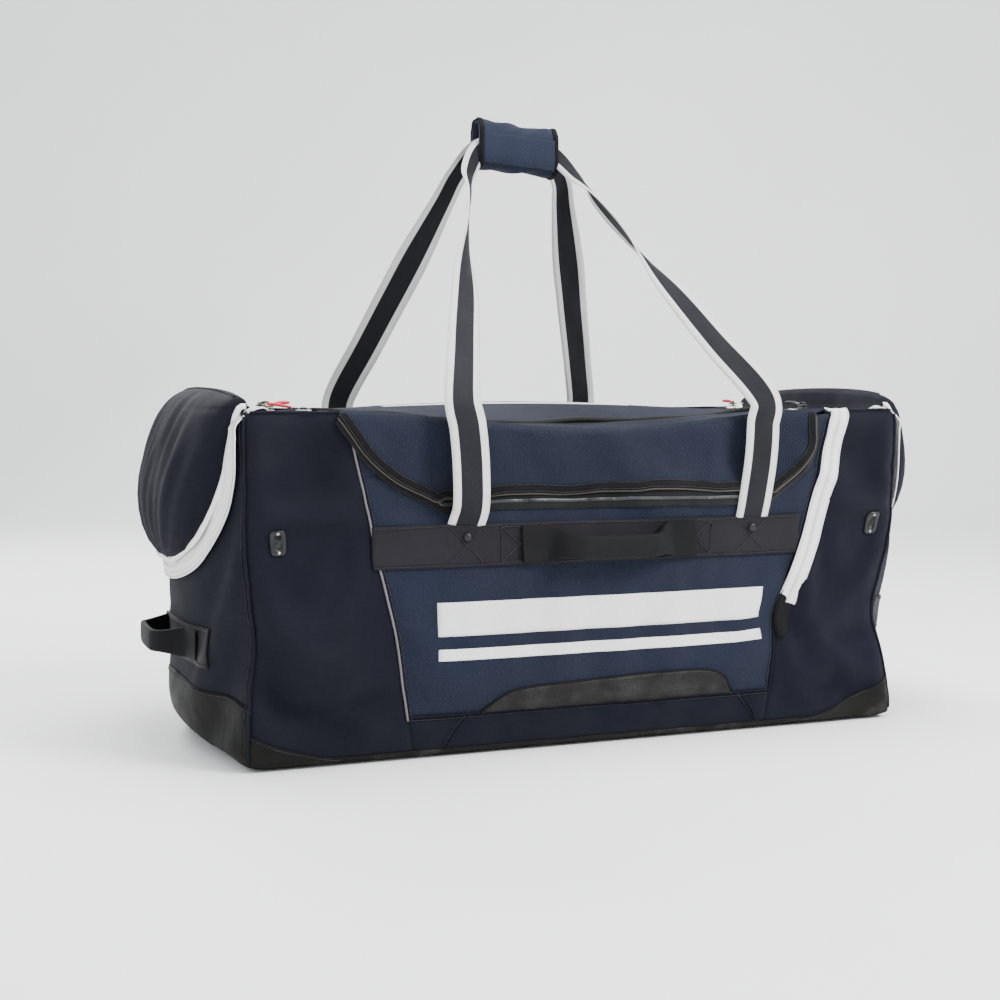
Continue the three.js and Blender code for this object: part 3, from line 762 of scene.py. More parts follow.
def ribbon(name, path, normals, width, thickness, material, crown=0.0, columns=6):
    """A flat tape along a path, a little fuller in its middle."""
    share = np.linspace(-1, 1, columns)
    top = np.stack([share * width / 2, thickness / 2 + crown * (1 - share**2)], axis=1)
    under = np.stack([share[::-1] * width / 2, -thickness / 2 + crown * (1 - share[::-1] ** 2)], axis=1)
    return sweep(name, path, normals, np.vstack([top, under]), material)


TOOTH_PITCH, TOOTH_HIGH = 0.0022, 0.0016
TOOTH_OUTLINE = np.array([(-0.5, 0), (-0.42, 0.75), (0, 1), (0.42, 0.75), (0.5, 0)])


def teeth(name, path, normals, material, wide=0.0046):
    """The coil of a zip: a row of small rounded bars across the tape."""
    path = np.asarray(path, float)
    normals = np.broadcast_to(np.asarray(normals, float), path.shape)
    spots = by_length(np.hstack([path, normals]), TOOTH_PITCH)
    tangent, side, up = path_frame(spots[:, :3], spots[:, 3:])
    ring = side[:, None] * TOOTH_OUTLINE[None, :, :1] * wide
    ring = ring + up[:, None] * TOOTH_OUTLINE[None, :, 1:] * TOOTH_HIGH
    walls = [spots[:, None, :3] + ring + tangent[:, None] * share * TOOTH_PITCH for share in (-0.33, 0.33)]
    verts = np.concatenate(walls, axis=1)
    number = np.arange(len(verts) * 10).reshape(-1, 10)
    near, far = number[:, :5], number[:, 5:]
    sides = np.stack([near[:, :-1], near[:, 1:], far[:, 1:], far[:, :-1]], axis=-1).reshape(-1, 4)
    faces = sides.tolist() + near[:, ::-1].tolist() + far.tolist()
    faces += np.stack([near[:, -1], near[:, 0], far[:, 0], far[:, -1]], axis=-1).tolist()
    flat = np.stack([np.tile(TOOTH_OUTLINE[:, 0] * wide, 2), np.repeat([0, TOOTH_PITCH], 5)], axis=-1)
    uvs = np.tile(flat, (len(verts), 1))
    return add_object(name, verts.reshape(-1, 3), faces, material, uvs, smooth_faces=False)


def skin_run(face, a, b, out=0.0, count=None, curve=True):
    """A path on a face of the shell with its outward normals."""
    points = np.stack(np.broadcast_arrays(np.asarray(a, float), np.asarray(b, float)), axis=1)
    count = count or max(int(np.linalg.norm(np.diff(points, axis=0), axis=1).sum() / 0.006), 4)
    fine = catmull(np.hstack([points, points[:, :1] * 0]), count) if curve else by_length(points, 0.006)
    path = skin(face, fine[:, 0], fine[:, 1], out)
    return path, unit(skin(face, fine[:, 0], fine[:, 1], out + 0.01) - path)


def piping(name, run, material, radius):
    place(sweep(name, *run, round_profile(radius, radius, 8), material), "bag")


def seam_stitches(name, run, shift):
    path, normals = run
    _, side, _ = path_frame(path, normals)
    place(stitches(name, path + side * shift + normals * 0.0004, normals, DARK_THREAD), "bag")


# ---------------------------------------------------------------- the panels of the body
def span_grid(face, lows, highs, rows, columns):
    """A grid between a left and a right edge: lows and highs give the edge places at each row's height."""
    across = np.linspace(0, 1, columns)[None, :]
    heights = np.asarray(rows, float)[:, None]
    return skin(face, mix(lows(heights), highs(heights), across), heights)


def far_left(z):
    return z * 0 - HALF_LONG


def far_right(z):
    return z * 0 + HALF_LONG


def side_panels(face):
    """The centre panel, the two corner panels and the dark band along the foot of a long side."""
    heights = np.linspace(LOWER_SEAM, MOUTH + 0.02 if face == "front" else HIGH - 0.004, 40)
    full = np.linspace(0.004, HIGH, 50)
    low = np.linspace(0.004, LOWER_SEAM, 8)
    for tag, node, edges, rows, columns, material, slot in (
            ("centre", "centre_panel", (left_seam, right_seam), heights, 72, QUILT, "textured_fabric"),
            ("left_corner", "left_side_panel", (far_left, left_seam), full, 24, PLAIN, "plain_fabric"),
            ("right_corner", "right_side_panel", (right_seam, far_right), full, 24, PLAIN, "plain_fabric"),
            ("lower", "lower_band", (left_seam, right_seam), low, 72, PLAIN, "plain_fabric")):
        grid = span_grid(face, *edges, rows, columns)
        place(cloth(f"{face}_{tag}_cloth", grid, WALL, material), "bag", f"{face}_{node}", slot=slot)


def side_trims(face):
    """The piped seams of a long side: its two slanted ones, its lower one and the two short darts."""
    rise = np.linspace(LOWER_SEAM - 0.004, HIGH - 0.004 if face == "back" else 0.440, 14)
    for tag, seam, material, shift in (("left", left_seam, PIPING, 0.005),
                                       ("right", right_seam, PLAIN, -0.005)):
        run = skin_run(face, seam(rise), rise, 0.0008)
        piping(f"{face}_{tag}_piping", run, material, 0.0016)
        seam_stitches(f"{face}_{tag}_seam_stitches", run, shift)
    base_xs = np.linspace(left_seam(LOWER_SEAM), right_seam(LOWER_SEAM), 12)
    base_run = skin_run(face, base_xs, LOWER_SEAM, 0.0006)
    piping(f"{face}_lower_piping", base_run, PLAIN, 0.0015)
    seam_stitches(f"{face}_lower_stitches", base_run, 0.0045)
    for tag, top_x, low_x in (("left", -0.181, -0.207), ("right", 0.217, 0.240)):
        dart = skin_run(face, [top_x, low_x, low_x - 0.004], [LOWER_SEAM, 0.024, 0.006], 0.0004)
        piping(f"{face}_{tag}_dart_piping", dart, PLAIN, 0.0013)
        seam_stitches(f"{face}_{tag}_dart_stitches", dart, 0.004)


for name in ("front", "back"):
    side_panels(name)
    side_trims(name)


# ---------------------------------------------------------------- the ends
POCKET_TOP, POCKET_DEEP, POCKET_HALF, POCKET_POWER = 0.455, 0.207, 0.205, 2.25


def pocket_edge(count):
    """The pocket's outline, a rounded U on the end of the bag, from its back top round to its front top."""
    turn = np.linspace(0, np.pi, count)
    c, s = np.cos(turn), np.sin(turn)
    y = POCKET_HALF * np.sign(c) * np.abs(c) ** (2 / POCKET_POWER)
    return y, POCKET_TOP - POCKET_DEEP * np.abs(s) ** (2 / POCKET_POWER)


def end_panels(end):
    """The end's cloth, the pocket's inner wall behind it, and the piped corner seams."""
    heights = np.linspace(0.004, HIGH, 48)[:, None]
    across = np.linspace(-HALF_WIDE, HALF_WIDE, 48)[None, :]
    place(cloth(f"{end}_end_cloth", skin(end, across, heights), WALL, PLAIN), "bag",
          f"{end}_end_panel", slot="plain_fabric")
    y, z = pocket_edge(40)
    rows = np.linspace(0, 1, 24)[:, None]
    liner = skin(end, (y * 0.97)[None, :] * (0 * rows + 1), mix(POCKET_TOP - 0.004, z, rows), 0.0035)
    place(cloth(f"{end}_pocket_liner_cloth", liner, 0.0015, LINING), "bag", f"{end}_pocket_liner",
          slot="lining_fabric")
    for side, tag in ((-1, "front"), (1, "back")):
        corner = skin_run(end, [side * (HALF_WIDE - EDGE)] * 8, np.linspace(0.012, HIGH - 0.006, 8), 0.0012)
        piping(f"{end}_{tag}_corner_piping", corner, PLAIN, 0.0022)
        seam_stitches(f"{end}_{tag}_corner_stitches", corner, side * 0.006)
    yoke_y = np.linspace(-0.225, 0.225, 14)
    yoke = skin_run(end, yoke_y, 0.428 + 0.010 * np.cos(yoke_y / 0.225 * np.pi / 2), 0.0006)
    piping(f"{end}_yoke_piping", yoke, PLAIN, 0.0014)


TOP_RUN_LEVELS, TOP_RUN_YS = (0.402, 0.452), (0.146, 0.203)  # where the zip turns in over the top


def end_zip_spots(end, lift):
    """Points along the pocket's zip: in over the top at one side, round the U, and in at the other side."""
    y, z = pocket_edge(60)
    keep = z < 0.446
    flip = 1 if end == "left" else -1
    level = np.linspace(*TOP_RUN_LEVELS, 6)
    top_x, top_y = -level * flip, np.interp(level, TOP_RUN_LEVELS, TOP_RUN_YS) * flip
    return np.vstack([skin("top", top_x, top_y, 0.0016 + lift),
                      skin(end, y[keep] * 1.02, z[keep] - 0.004, 0.0050 + lift),
                      skin("top", top_x[::-1], -top_y[::-1], 0.0016 + lift)])


def end_zip(end):
    """The pocket's zip: a light tape folded round the U, its coil, and rows of stitches."""
    both = catmull(np.hstack([end_zip_spots(end, 0), end_zip_spots(end, 0.010)]), 170)
    path, normals = both[:, :3], unit(both[:, 3:] - both[:, :3])
    _, side, _ = path_frame(path, normals)
    tape = ribbon(f"{end}_pocket_zip_tape", path, normals, 0.030, 0.0016, WHITE_TAPE, 0.0012, 8)
    place(tape, "bag", f"{end}_pocket_zipper", slot="light_zip")
    place(teeth(f"{end}_pocket_zip_coil", path + normals * 0.0018, normals, COIL), "bag")
    for shift in (-0.0125, -0.0070, 0.0070, 0.0125):
        row_name = f"{end}_zip_stitches_{round(shift * 1e4) + 200}"
        place(stitches(row_name, path + side * shift + normals * 0.0014, normals, WHITE_THREAD), "bag")


FLAP_SEAT = ((0.442, 0.0008), (0.450, 0.0024))  # reach and lift of the two rows sewn to the yoke
# reach, height and fullness of the cover's middle line, from the yoke over and down to its tip
FLAP_ROWS = [(0.457, 0.4600, 0.0), (0.464, 0.4700, 0.0), (0.480, 0.4810, 0.0), (0.497, 0.4800, 0.12),
             (0.515, 0.4700, 0.35), (0.529, 0.4540, 0.55), (0.542, 0.4280, 0.8), (0.556, 0.388, 1.0),
             (0.566, 0.344, 1.0), (0.564, 0.304, 1.0), (0.555, 0.274, 1.0), (0.540, 0.2545, 1.0)]


def flap_grid(rows, columns):
    """The pocket's puffed cover: full in its middle, drawn in to the zip at its edge, with soft folds."""
    spine = catmull(FLAP_ROWS, rows)
    reach, level, swell = spine[:, :1], spine[:, 1:2], spine[:, 2:3]
    share = np.linspace(-1, 1, columns)[None, :]
    lower = clamp((POCKET_TOP - level) / POCKET_DEEP, 0, 0.985)
    half = POCKET_HALF * (1 - lower**POCKET_POWER) ** (1 / POCKET_POWER) + 0 * share
    y = half * share
    edge = -(HALF_LONG + END_BULGE * np.maximum(np.cos(np.pi * y / END_BULGE_SPAN), 0) ** 0.8
             * np.sin(np.pi * clamp(level / HIGH, 0.001, 0.999)) ** 0.5) - 0.007
    edge = mix(-0.466 + 0 * y, edge, clamp(swell * 1.6, 0, 1))
    fullness = np.cos(np.pi / 2 * share) ** 0.36
    x = mix(edge, np.minimum(-reach, edge), fullness)
    folds = 0.0026 * np.sin(13 * share * np.pi / 2 + 5 * level) * np.sin(9 * share + 1.3)
    folds = folds + 0.0016 * np.sin(21 * share + 40 * level) * smooth(level, 0.27, 0.42)
    x = x - folds * clamp(1.25 - share**4 * 1.25, 0, 1) * (0.25 + 0.75 * swell)
    z = mix(np.minimum(level, 0.4575) + 0 * share, level, np.cos(np.pi / 2 * share) ** 0.30)
    return np.stack([x, y, z], axis=-1)


def pocket_flap(end):
    """The pocket's cover with its light rim, sewn to the yoke along its top."""
    points = flap_grid(56, 64)
    if end == "right":
        points = half_turn(points)
    sign = -1 if end == "left" else 1
    seat = [skin("top", sign * reach, points[0, :, 1], lift) for reach, lift in FLAP_SEAT]
    points = np.concatenate([seat, points])
    centre = (sign * 0.40, 0, 0.35)
    body = f"{end}_pocket"
    flap = cloth(f"{end}_pocket_cover", points, WALL, PLAIN, centre)
    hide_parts(f"{end}_pocket_flap")
    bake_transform(flap)
    rim = np.concatenate([points[10:, 0], points[-1, 1:], points[-2:9:-1, -1]])
    rim = catmull(rim[::3], 150)
    out = unit(rim - np.array([rim[:, 0].mean() * 0.6, 0, 0.34]))
    edge = sweep(f"{end}_pocket_rim", rim, out, round_profile(0.0042, 0.0030, 10), WHITE_TAPE)
    place(edge, body)
    ridge_run = catmull(points[8, 2:-2:4], 60)
    profile = round_profile(0.0018, 0.0018, 8)
    place(sweep(f"{end}_pocket_ridge_piping", ridge_run, (0, 0, 1), profile, PLAIN), body)


def scuff_patch(end):
    """The coated patch low on the end, with one row of stitches along its top."""
    across = np.linspace(-HALF_WIDE, HALF_WIDE, 30)[None, :]
    share = np.linspace(0, 1, 12)[:, None]
    top = 0.102 - 0.020 * np.abs(across / HALF_WIDE) ** 3
    place(cloth(f"{end}_scuff_cloth", skin(end, across, mix(0.003, top, share), 0.0016), 0.0014, TARP),
          "bag", f"{end}_scuff_patch", slot="coated_fabric")
    edge = skin_run(end, across[0], (top - 0.004)[0], 0.0018)
    seam_stitches(f"{end}_scuff_stitches", edge, 0)


def end_band(end):
    """The webbing band low on the end, stitched along both edges."""
    rows = np.linspace(END_BAND_Z - WEBBING / 2, END_BAND_Z + WEBBING / 2, 9)[:, None]
    across = np.linspace(-0.148, 0.222, 60)[None, :]
    band = cloth(f"{end}_end_webbing", skin(end, across, rows + 0 * across, 0.0028), 0.0022, WEB)
    place(band, "bag", f"{end}_webbing_band", slot="dark_webbing")
    for level in (END_BAND_Z - 0.021, END_BAND_Z + 0.021):
        run = skin_run(end, np.linspace(-0.144, 0.218, 14), level, 0.0028)
        seam_stitches(f"{end}_band_stitches_{round(level * 1000)}", run, 0)


for name in ("left", "right"):
    end_panels(name)
    end_zip(name)
    pocket_flap(name)
    scuff_patch(name)
    end_band(name)


# ---------------------------------------------------------------- the top and the lid
def tops():
    """The fixed cloth of the top: the rear panel and a yoke at each end, with their piped seams."""
    for tag, node, (left, right), front, columns, rows, material, slot in (
            ("rear_top", "rear_top_panel", (LID_LEFT, LID_RIGHT), REAR_Y, 60, 26, QUILT, "textured_fabric"),
            ("left_yoke", "left_top_yoke", (-HALF_LONG, LID_LEFT), -HALF_WIDE, 16, 40, PLAIN,
             "plain_fabric"),
            ("right_yoke", "right_top_yoke", (LID_RIGHT, HALF_LONG), -HALF_WIDE, 16, 40, PLAIN,
             "plain_fabric")):
        xs = np.linspace(left, right, columns)[None, :]
        ys = np.linspace(front, HALF_WIDE, rows)[:, None]
        place(cloth(f"{tag}_cloth", skin("top", xs, ys), WALL, material), "bag", node, slot=slot)
    for tag, x in (("left", LID_LEFT), ("right", LID_RIGHT)):
        run = skin_run("top", [x] * 10, np.linspace(-0.228, 0.226, 10), 0.0008)
        piping(f"{tag}_yoke_piping", run, PLAIN, 0.0016)
        seam_stitches(f"{tag}_yoke_stitches", run, 0.005)
    back_run = skin_run("top", np.linspace(-0.46, 0.46, 20), [HALF_WIDE - EDGE] * 20, 0.0010)
    piping("top_back_piping", back_run, PLAIN, 0.0020)
    for tag, start, stop in (("left", -0.462, LID_LEFT - 0.004), ("right", LID_RIGHT + 0.036, 0.462)):
        run = skin_run("top", np.linspace(start, stop, 8), [-HALF_WIDE + EDGE] * 8, 0.0010)
        piping(f"top_front_{tag}_piping", run, PLAIN, 0.0020)


def ridge():
    """The olive binding over the hinge seam: a soft folded tape that waves along the sag."""
    xs = np.linspace(LID_LEFT - 0.004, LID_RIGHT + 0.004, 60)
    path, normals = skin_run("top", xs, RIDGE_Y + 0.0035 * np.sin(xs * 15 + 0.6), 0.0035, 150)
    rise = 0.0022 * np.sin(path[:, 0] * 21 + 1.0) + 0.0012 * np.sin(path[:, 0] * 47)
    path = path + normals * rise[:, None]
    band = sweep("ridge_binding_tape", path, normals, round_profile(0.0066, 0.0036, 14, 0.8), OLIVE_TAPE)
    place(band, "bag", "ridge_binding", slot="binding")
    _, side, _ = path_frame(path, normals)
    for shift in (-0.0052, 0.0052):
        row_name = f"ridge_stitches_{round(shift * 1e4) + 100}"
        place(stitches(row_name, path + side * shift + normals * 0.0024, normals, DARK_THREAD), "bag")


# height, left edge and right edge of the hanging lid
LID_DRAPE = [(0.449, -0.350, 0.330), (0.430, -0.338, 0.3295), (0.400, -0.316, 0.328),
             (0.370, -0.278, 0.304), (0.343, -0.226, 0.262)]


def lid_lift(share_down, x):
    """How far the hanging lid stands off the front: a little more at its hem, in slow waves."""
    wave = 0.0016 * np.sin(x * 17 + 0.8) + 0.0010 * np.sin(x * 41)
    return 0.0052 + share_down * (0.0034 + wave)


def lid_outline(rows):
    """Left and right edges of the hanging lid by height."""
    fine = catmull(LID_DRAPE, rows)
    return fine[:, 0], fine[:, 1], fine[:, 2]


LID_DROP = 0.112  # how far the lid hangs down the front


def lid_grid():
    """The whole lid, from the ridge over the top's front edge and down to its hem."""
    share = np.linspace(0, 1, 110)
    ys = np.linspace(LID_Y, -0.2285, 16)
    top = [skin("top", mix(LID_LEFT, LID_RIGHT, share), y, 0.0046) for y in ys]
    z, left, right = lid_outline(22)
    front = []
    for level, start, stop in zip(z, left, right):
        x = mix(start, stop, share)
        down = clamp((HIGH - level) / LID_DROP, 0, 1)
        front.append(skin("front", x, level + hem_wave(x) * down, lid_lift(down, x)))
    return np.array(top + front)


def hem_wave(x):
    """The hem isn't straight: it dips a little in its middle and lifts towards its right end."""
    return 0.0030 * np.sin((x + 0.22) * 6.4) + 0.0012 * np.sin(x * 23)


def lid_edge_run(inset):
    """The lid's hem as a path with its outward normals, drawn in from the edge by some inset."""
    z, left, right = lid_outline(22)
    middle = np.linspace(left[-1], right[-1], 40)[1:-1]
    x = np.concatenate([left + inset, middle, right[::-1] - inset])
    level = np.concatenate([z, middle * 0 + z[-1] + inset, z[::-1]])
    fine = catmull(np.stack([x, level, x * 0], axis=1), 220)
    down = clamp((HIGH - fine[:, 1]) / LID_DROP, 0, 1)
    out = lid_lift(down, fine[:, 0])
    level = fine[:, 1] + hem_wave(fine[:, 0]) * down
    path = skin("front", fine[:, 0], level, out)
    return path, unit(skin("front", fine[:, 0], level, out + 0.01) - path)


def lid():
    """The lid's cloth, bent along the ridge, with its bound and stitched hem and a light strip under it as a
    painted highlight.
    """
    flap = cloth("lid_cloth", lid_grid(), 0.0036, QUILT)
    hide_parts("lid_flap")
    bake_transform(flap)
    path, normals = lid_edge_run(0.004)
    profile = round_profile(0.0062, 0.0030, 12, 0.7, -0.0012)
    binding = sweep("lid_hem_binding", path, normals, profile, TRIM_TAPE)
    place(binding, "lid", "lid_binding", slot="binding")
    _, side, _ = path_frame(path, normals)
    outward = side * np.sign((side * (path - path.mean(0))).sum(1).mean())
    for tag, shift in (("outer", 0.0042), ("inner", -0.0046)):
        place(stitches(f"lid_hem_stitches_{tag}", path + outward * shift + normals * 0.0016, normals,
                       DARK_THREAD), "lid")
    # painted highlight: a thin light strip just under the hem binding, where its rim catches the light
    rim = sweep("lid_rim_painted_highlight", path + outward * 0.0058 - normals * 0.0022, normals,
                round_profile(0.0022, 0.0012, 8), PAINTED_RIM_HIGHLIGHT)
    place(rim, "lid")


def main_zip():
    """The lid's zip, on the body just under the hem, and along both sides of the mouth."""
    z, left, right = lid_outline(22)
    middle = np.linspace(left[-1] - 0.006, right[-1] + 0.006, 30)[1:-1]
    x = np.concatenate([left + 0.004, middle, right[::-1] - 0.004])
    level = np.concatenate([z - 0.004, middle * 0 + z[-1] - 0.010, z[::-1] - 0.004])
    fine = catmull(np.stack([x, level, x * 0], axis=1), 200)
    path = skin("front", fine[:, 0], fine[:, 1], 0.0016)
    normals = unit(skin("front", fine[:, 0], fine[:, 1], 0.01) - path)
    tape = ribbon("main_zip_tape", path, normals, 0.022, 0.0014, BLACK_TAPE, 0.0004)
    place(tape, "bag", "main_zipper_tape", slot="dark_zip")
    place(teeth("main_zip_coil", path + normals * 0.0010, normals, DARK_COIL), "bag")


def mouth_gussets():
    """Cloth beside the mouth, between the lid's hem and the front's slanted seams."""
    z, left, right = lid_outline(16)
    z, left, right = z[:11], left[:11], right[:11]
    share = np.linspace(0, 1, 10)[None, :]
    for tag, inner, outer in (("left", left + 0.022, left_seam(z)), ("right", right - 0.022, right_seam(z))):
        grid = skin("front", mix(inner[:, None], outer[:, None], share), z[:, None], -0.0004)
        place(cloth(f"mouth_{tag}_gusset", grid, WALL, QUILT), "bag")


tops()
ridge()
lid()
main_zip()
mouth_gussets()


# ---------------------------------------------------------------- bands, vents, eyelets and rivets
def band_box(face, x0, x1, z0, z1, out):
    """The outline of a sewn box with its crossing stitches, as runs on a face."""
    loop = skin_run(face, [x0, x1, x1, x0, x0], [z0, z0, z1, z1, z0], out, curve=False)
    cross = [skin_run(face, [x0, x1], ends, out, curve=False) for ends in ((z0, z1), (z1, z0))]
    return [loop] + cross


def webbing_band(face):
    """The wide band along a long side, its two rows of stitches and its crossed boxes."""
    rows = np.linspace(BAND_LOW, BAND_HIGH, 9)[:, None]
    across = np.linspace(-BAND_REACH - 0.004, BAND_REACH, 110)[None, :]
    band = cloth(f"{face}_band_webbing", skin(face, across, rows + 0 * across, 0.0030), 0.0024, WEB)
    place(band, "bag", f"{face}_webbing_band", slot="dark_webbing")
    for tag, level in (("low", BAND_LOW + 0.003), ("high", BAND_HIGH - 0.003)):
        run = skin_run(face, np.linspace(-0.308, 0.304, 20), level, 0.0031)
        seam_stitches(f"{face}_band_{tag}_stitches", run, 0)
    runs = []
    for x in STRAP_FRONT:
        runs += band_box(face, x - 0.022, x + 0.022, BAND_LOW + 0.006, BAND_HIGH - 0.006, 0.0034)[1:]
    for x0, x1 in ((-0.1395, -0.088), (0.112, 0.165)):
        runs += band_box(face, x0, x1, BAND_LOW + 0.005, BAND_HIGH - 0.005, 0.0040)
    rows = [stitches(f"{face}_box", path, normals, DARK_THREAD) for path, normals in runs]
    place(joined(f"{face}_box_stitches", rows), "bag")


# places along the vent's upper edge
VENT_TOP = [(-0.165, 0.0600), (-0.124, 0.0880), (-0.020, 0.0950), (0.080, 0.0990), (0.172, 0.0940),
            (0.205, 0.0600)]


def mesh_vent(face):
    """The mesh let into the foot of a long side, a little sunk and wavy, with its bound edge."""
    top = catmull([(x, z, 0) for x, z in VENT_TOP], 60)
    rows = np.linspace(0, 1, 9)[:, None]
    sunk = 0.0030 + 0.0014 * np.sin(np.pi * rows) * np.sin(24 * top[None, :, 0])
    grid = skin(face, top[None, :, 0] + 0 * rows, mix(LOWER_SEAM + 0.0016, top[None, :, 1], rows), sunk)
    place(cloth(f"{face}_vent_mesh", grid, 0.0009, MESH), "bag", f"{face}_mesh_vent", slot="mesh_fabric")
    edge = skin_run(face, top[:, 0], top[:, 1], 0.0014, 90)
    piping(f"{face}_vent_edge", edge, TRIM_TAPE, 0.0018)
    seam_stitches(f"{face}_vent_stitches", edge, 0.0042)


def lathe(name, profile, spot, axis, material, count=28):
    """A turned piece: the profile of (radius, height) round an axis at a spot."""
    axis = unit(np.asarray(axis, float))
    across = unit(np.cross(axis, (0.3, 0.2, 0.9) if abs(axis[2]) < 0.9 else (1, 0, 0)))
    third = np.cross(axis, across)
    turn = np.linspace(0, 2 * np.pi, count, endpoint=False)
    ring = np.cos(turn)[:, None] * across + np.sin(turn)[:, None] * third
    profile = np.asarray(profile, float)
    verts = np.asarray(spot) + profile[:, None, :1] * ring[None] + profile[:, None, 1:] * axis
    thing = add_object(name, verts.reshape(-1, 3), tube_faces(len(profile), count), material)
    fix_normals(thing)
    return thing


# radius and height of the rivet's head, from its foot up
RIVET = [(0.0052, 0), (0.0056, 0.0007), (0.0050, 0.0018), (0.0032, 0.0026), (0.0014, 0.0029),
         (0.0004, 0.0030)]
RIVET_Z, RIVET_OUT = 0.2885, 0.0062
EYELET_Z, EYELET_XS = 0.290, (-0.430, 0.432)


def fasteners(face):
    """The rivets at the strap anchors and the lashing plates on the corner panels."""
    for tag, x in zip(("left", "right"), STRAP_FRONT):
        spot = skin(face, x, RIVET_Z, RIVET_OUT)
        rivet = lathe(f"{face}_{tag}_rivet_head", RIVET, spot, spot - skin(face, x, RIVET_Z, 0), BLACK_HARD)
        place(rivet, "bag", f"{face}_{tag}_rivet", slot="dark_hardware")
    for tag, x in zip(("left", "right"), EYELET_XS):
        eyelet(f"{face}_{tag}_eyelet_plate", face, x, EYELET_Z, f"{face}_{tag}_eyelet")


# half width, half height, distance out and squareness of each ring, from the foot in to the slot
EYELET_RINGS = [(0.0100, 0.0165, 0.0004, 0.45), (0.0098, 0.0163, 0.0024, 0.45), (0.0088, 0.0152, 0.0034, 0.5),
                (0.0056, 0.0100, 0.0036, 0.6), (0.0046, 0.0088, 0.0030, 0.6), (0.0044, 0.0086, 0.0012, 0.6)]


def eyelet(name, face, x, z, node):
    """A lashing plate: an oblong frame round a slot, with a small rivet at its top and its bottom."""
    turn = np.linspace(0, 2 * np.pi, 40, endpoint=False)
    c, s = np.cos(turn), np.sin(turn)

    def ring(wide, high, out, power):
        return skin(face, x + wide * np.sign(c) * np.abs(c) ** power,
                    z + high * np.sign(s) * np.abs(s) ** power, out)

    rings = [ring(*row) for row in EYELET_RINGS]
    plate = add_object(name, np.vstack(rings), tube_faces(len(rings), len(turn)), BLACK_HARD)
    fix_normals(plate)
    studs = []
    small = [(radius * 0.42, height * 0.6) for radius, height in RIVET]
    for level in (z - 0.0125, z + 0.0125):
        spot = skin(face, x, level, 0.0032)
        studs.append(lathe("stud", small, spot, spot - skin(face, x, level), GREY_METAL, 16))
    place(plate, "bag", node, slot="dark_hardware")
    place(joined(f"{name}_studs", studs), "bag")


def swell(profile, wide, thick):
    """One ring of a profile for each place, from its widths and thicknesses there."""
    wide, thick = np.broadcast_arrays(wide, thick)
    return profile[None] * np.stack([wide, thick], axis=-1)[:, None]


def grab_handle(face):
    """The webbing grab handle: flat and wide at its sewn ends, rolled narrower in its middle."""
    sign = 1 if face == "front" else -1
    lead = 0.034
    x = np.linspace(HANDLE_X - HANDLE_REACH - lead, HANDLE_X + HANDLE_REACH + lead, 120)
    inside = clamp(1 - ((x - HANDLE_X) / HANDLE_REACH) ** 2, 0, 1)
    stand = 0.0062 + 0.0270 * smooth(inside, 0, 0.75)
    droop = 0.0060 * smooth(inside, 0, 0.9)
    out = np.array([0, -1, 0]) * sign
    path = skin(face, x, HANDLE_Z - droop, 0) + out * stand[:, None]
    wide = mix(1.0, 0.60, smooth(inside, 0.05, 0.55)) * WEBBING / 2
    thick = mix(0.0024, 0.0062, smooth(inside, 0.05, 0.60))
    rings = swell(round_profile(1, 1, 22, 0.55), wide, thick)
    handle = sweep(f"{face}_grab_webbing", path, out + np.array([0, 0, 0.10]), rings, BLACK_WEB)
    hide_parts(f"{face}_grab_handle")
    surface = skin(face, HANDLE_X, HANDLE_Z)
    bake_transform(handle)


for name in ("front", "back"):
    webbing_band(name)
    mesh_vent(name)
    fasteners(name)
    grab_handle(name)


def end_handle(end):
    """The webbing handle low on the end, standing out in a loop."""
    sign = -1 if end == "left" else 1
    y = np.linspace(-0.108, 0.108, 110)
    inside = clamp(1 - (y / 0.078) ** 2, 0, 1)
    out = np.array([sign, 0, 0])
    stand = 0.0056 + 0.034 * smooth(inside, 0, 0.75)
    path = skin(end, y, END_BAND_Z, 0) + out * stand[:, None]
    wide = mix(1.0, 0.72, smooth(inside, 0.05, 0.6)) * 0.020
    thick = mix(0.0020, 0.0042, smooth(inside, 0.05, 0.6))
    rings = swell(round_profile(1, 1, 20, 0.5), wide, thick)
    handle = sweep(f"{end}_handle_webbing", path, out, rings, BLACK_WEB)
    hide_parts(f"{end}_end_handle")
    surface = skin(end, 0, END_BAND_Z)
    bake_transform(handle)


# ---------------------------------------------------------------- carry straps and their grip
def strap_leg(x, grip_x, side, lean):
    """One leg from its anchor at the band up to the grip, as x, y, z and twist in degrees."""
    start = skin("front" if side < 0 else "back", x * -side, ANCHOR_Z - 0.004, 0.0014)
    free = (x - 0.008 * lean, side * 0.246, 0.470)
    grip = (grip_x, side * 0.010, GRIP_Z - 0.020)
    points = [(*start, 0), (x, side * 0.2505, 0.330, 0), (x - 0.002 * lean, side * 0.2570, 0.376, 0),
              (x - 0.005 * lean, side * 0.2560, 0.430, 0), (*free, 2 * lean)]
    for share, turn in ((0.22, 8), (0.45, 18), (0.66, 46), (0.84, 50), (0.95, 20)):
        points.append((*mix(np.array(free), np.array(grip), share), turn * lean))
    return points


